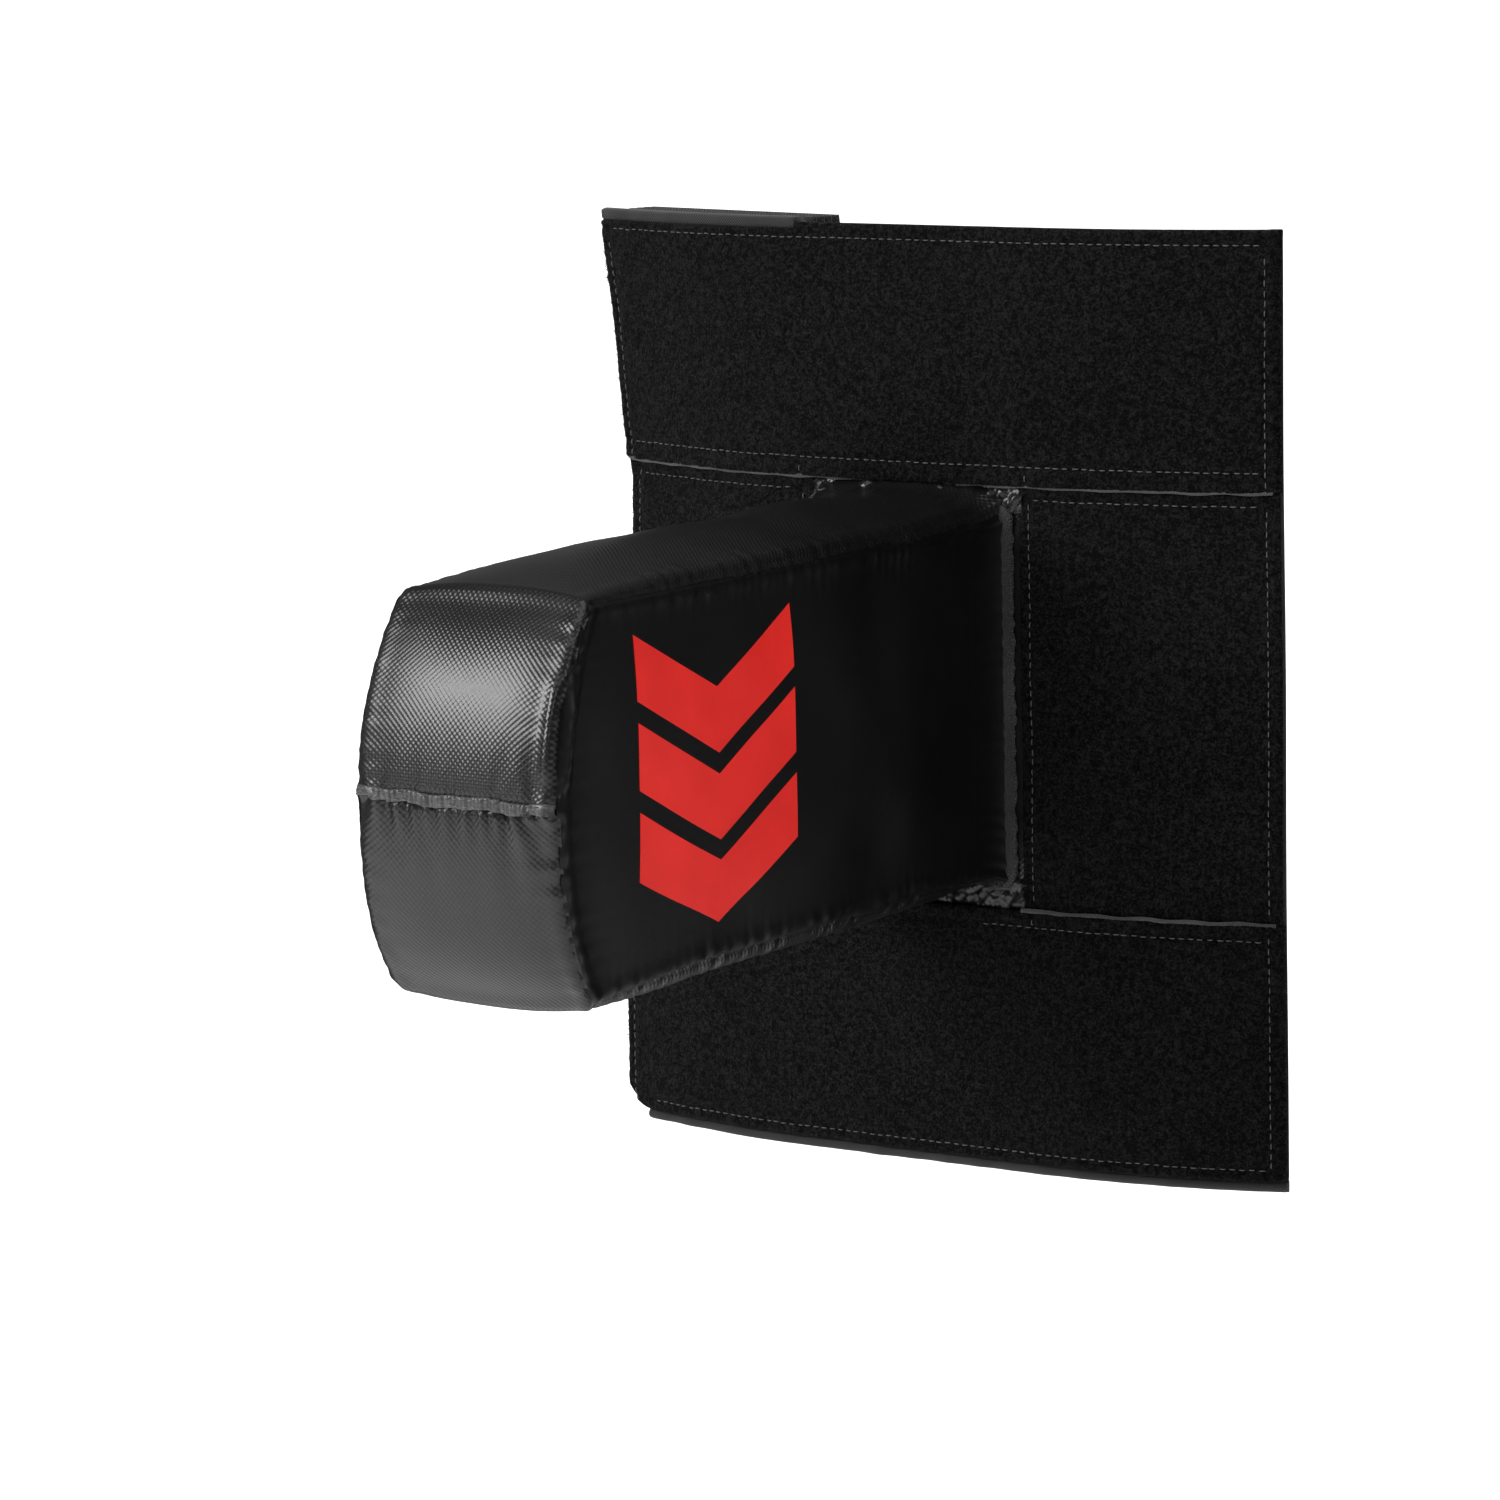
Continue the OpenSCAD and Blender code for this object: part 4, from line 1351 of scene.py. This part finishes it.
def foamBlock(name, node, material, arched):
    # cut foam with soft edges; arched blocks follow the round end of the cover
    low, high = boxOf(node)
    v = foamLook
    low, high = low + v["gap"] * (np.abs(low) > 0.03), high - v["gap"] * (np.abs(high) > 0.03)
    low[1], high[1] = boxOf(node)[0][1] + v["gap"], min(boxOf(node)[1][1], v["start"])
    z = np.linspace(low[2], high[2], 15)
    tip = endY(z) + v["gap"] + 2 * mm if arched else np.full(15, low[1])
    profile = np.concatenate([np.stack([tip, z], -1),
                              np.stack([np.linspace(tip[-1], high[1], 9)[1:], np.full(8, high[2])], -1),
                              np.stack([np.full(14, high[1]), z[::-1][1:]], -1),
                              np.stack([np.linspace(high[1], tip[0], 9)[1:-1], np.full(7, low[2])], -1)])
    middle = profile.mean(0)
    turn = np.linspace(0, math.pi / 2, 5)
    edgeIn, edgeAlong = v["round"] * (1 - np.sin(turn)), v["round"] * (1 - np.cos(turn))
    inset = np.concatenate([edgeIn, [0, 0, 0], edgeIn[::-1]])
    width = high[0] - low[0]
    place = np.concatenate([edgeAlong, np.array([0.3, 0.5, 0.7]) * width, width - edgeAlong[::-1]]) + low[0]
    rings = []
    for x, shrink in zip(place, inset):
        toMiddle = middle - profile
        step = shrink * toMiddle / np.linalg.norm(toMiddle, axis=1, keepdims=True)
        soft = 0.3 * mm * waves1(profile[:, 0] + profile[:, 1] + x, 30 * mm, 101)[:, None]
        ring = profile + step - soft * toMiddle / np.linalg.norm(toMiddle, axis=1, keepdims=True)
        rings.append(np.column_stack([np.full(len(ring), x), ring]))
    points = np.concatenate(rings)
    around = len(profile)
    faces = list(gridFaces(len(place), around, flip=True, wrap=True))
    faces += [np.arange(around), np.arange(around)[::-1] + around * (len(place) - 1)]
    block = addMesh(name, points, faces, material)
    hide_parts(node)
    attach(block, "arm")


foamBlock("foamCore", "foam_core", coreFoam, False)
foamBlock("foamTop", "foam_top", softFoam, False)
foamBlock("foamBottom", "foam_bottom", softFoam, False)
for foamName, foamNode in (("foamLeft", "foam_left"), ("foamRight", "foam_right"), ("foamNose", "foam_nose")):
    foamBlock(foamName, foamNode, softFoam, True)


def makeNeckFoam():
    low, high = boxOf("neck_foam")
    middle, radius = 0.5 * (low + high), 0.5 * (high[0] - low[0])
    t = np.linspace(0, math.pi, 25)
    z = middle[2] - np.cos(t) * 0.5 * (high[2] - low[2])
    waist = radius * np.sin(t).clip(0.02) ** 0.3 * (0.94 + 0.06 * np.abs(np.cos(t)))
    phi = np.linspace(0, 2 * math.pi, 33)[:-1]
    grid = np.stack([middle[0] + waist[:, None] * np.cos(phi), middle[1] + waist[:, None] * np.sin(phi),
                     z[:, None] + 0 * phi], -1)
    faces = list(gridFaces(25, 32, flip=True, wrap=True)) + [np.arange(32)[::-1], np.arange(32) + 24 * 32]
    neck = addMesh("neckFoam", grid.reshape(-1, 3), faces, coreFoam)
    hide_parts("neck_foam")
    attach(neck, "neck")


makeNeckFoam()
print("foam made")

# the two folded belts behind the left wing

beltLook = dict(thick=1.6 * mm, bend=1.1 * mm, step=4 * mm, folds=8)
beltStitch = dict(pitch=4.2 * mm, dash=2.8 * mm, radius=0.2 * mm, rise=0.2 * mm)
jointPlace = {j["child"]: np.array(j["pos_m"]) for j in frame["joints"]}


def beltFrame(belt):
    # directions of the folded stack, from the hinges between its folds
    first, third = (jointPlace["%s_belt_%d" % (belt, k)] for k in (1, 3))
    back = (third - first)[:2]
    back /= np.linalg.norm(back)
    return np.array([back[1], -back[0]]), back


def beltFold(belt, k):
    v = beltLook
    across, back = beltFrame(belt)
    body = "%s_belt_%d" % (belt, k)
    low, high = boxOf("%s_belt_fold_%d" % (belt, k))
    start = jointPlace[body][:2]
    last = k == v["folds"]
    if last:
        before = jointPlace["%s_belt_%d" % (belt, k - 1)][:2]
        finish = start + across * float((before - start) @ across) + back * 2 * v["bend"]
    else:
        finish = jointPlace["%s_belt_%d" % (belt, k + 1)][:2]
    out = -np.sign(float((finish - start) @ across))
    turn = np.linspace(0, math.pi / 2, 7)
    arcIn = [start + v["bend"] * (math.cos(t) * out * across + math.sin(t) * back) for t in turn]
    arcOut = [finish + v["bend"] * (-math.cos(t) * out * across - math.sin(t) * back) for t in turn[::-1]]
    if last:
        arcOut = arcOut[:1]
    run = np.linspace(arcIn[-1], arcOut[0], 24)
    line = np.array(arcIn[:-1] + list(run) + arcOut[1:])
    ahead = np.gradient(line, axis=0)
    ahead /= np.linalg.norm(ahead, axis=1, keepdims=True)
    beside = np.column_stack([ahead[:, 1], -ahead[:, 0]]) * out
    z = np.linspace(low[2], high[2], int((high[2] - low[2]) / v["step"]) + 1)
    edge = np.minimum(z - low[2], high[2] - z)
    soft = 1 - 0.55 * np.exp(-edge / (0.8 * mm))
    z = np.concatenate([z, z[::-1]])
    soft = np.concatenate([soft, -soft[::-1]])
    thick = v["thick"] * (1 if k % 2 else 0.96) / 2
    wave = 0.06 * mm * waves2(line[:, :1] * 3, z[None], 26 * mm, 111 + k)
    offset = thick * soft[None] + wave
    grid = np.concatenate([line[:, None] + beside[:, None] * offset[..., None],
                           np.broadcast_to(z[None, :, None], offset.shape + (1,))], -1)
    count, around = grid.shape[:2]
    faces = list(gridFaces(count, around, flip=out < 0, wrap=True))
    caps = [np.arange(around)[::-1], np.arange(around) + around * (count - 1)]
    faces += [c[::-1] if out < 0 else c for c in caps]
    fold = addMesh("%sBeltFold_%d" % (belt, k), grid.reshape(-1, 3), faces, beltCloth)
    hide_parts("%s_belt_fold_%d" % (belt, k))
    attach(fold, body)
    runs = []
    for z0 in (low[2] + 4 * mm, high[2] - 4 * mm, 0.5 * (low[2] + high[2])):
        for side in (1, -1):
            face = line[6:-6] + side * beside[6:-6] * (thick - 0.12 * mm)
            runs.append((np.column_stack([face, np.full(len(face), z0)]),
                         np.column_stack([side * beside[6:-6], np.zeros(len(face))])))
    points, threads = stitches(runs, beltStitch, 120 + k)
    thread = addMesh("%sBeltStitching_%d" % (belt, k), points, threads, darkThread)
    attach(thread, body)


def hookPatch(belt):
    # a field of small hooks on a stiff tape, sewn on the belt's last fold
    across, back = beltFrame(belt)
    node = "%s_hook_patch" % belt
    low, high = boxOf(node)
    points = np.array([v.co for v in frame["nodes"][node].data.vertices])
    a, b = points[:, :2] @ across, points[:, :2] @ back
    aa = np.arange(a.min(), a.max(), 0.75 * mm)
    zz = np.arange(low[2], high[2], 0.75 * mm)
    grid = np.stack(np.meshgrid(aa, zz, indexing="ij"), -1)
    r, c = np.meshgrid(np.arange(len(aa)), np.arange(len(zz)), indexing="ij")
    hooks = ((r % 2) * (c % 2)) * 0.55 * mm * (1 + 0.3 * waves2(grid[..., 0], grid[..., 1], 5 * mm, 131))
    rim = np.minimum(np.minimum(r, len(aa) - 1 - r), np.minimum(c, len(zz) - 1 - c)) * 0.75 * mm
    depth = b.min() + 0.8 * mm + hooks * (rim > 2.5 * mm) - 0.3 * mm * np.exp(-rim / (0.8 * mm))
    face = np.concatenate([grid[..., :1] * across + depth[..., None] * back, grid[..., 1:]], -1)
    base = np.concatenate([grid[..., :1] * across + (b.min() - 0.1 * mm) * back, grid[..., 1:]], -1)
    patch = addMesh("%sHookPatch" % belt, np.concatenate([face.reshape(-1, 3), base.reshape(-1, 3)]),
                    shellFaces(len(aa), len(zz), True), hookTape)
    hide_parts(node)
    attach(patch, "%s_belt_%d" % (belt, beltLook["folds"]))


def beltAnchor(belt):
    # a tab sewn behind the left wing's edge
    low, high = boxOf("%s_belt_anchor" % belt)
    end = panelEdge - 0.4 * mm + (panelShape["trimLow"] if belt == "bottom" else 0)
    tab = clothSlab("%sBeltAnchor" % belt, "left", (panelEdge - 14 * mm, end), (low[2], high[2]),
                    (-0.05 * mm, -2.6 * mm), beltCloth,
                    lambda s, z: 0.12 * mm * waves2(s, z, 12 * mm, 141), step=1.5 * mm, endRound=1.2 * mm)
    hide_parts("%s_belt_anchor" % belt)
    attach(tab, "left_wing")


for belt in ("top", "bottom"):
    beltAnchor(belt)
    for k in range(1, beltLook["folds"] + 1):
        beltFold(belt, k)
    hookPatch(belt)
print("belts made")
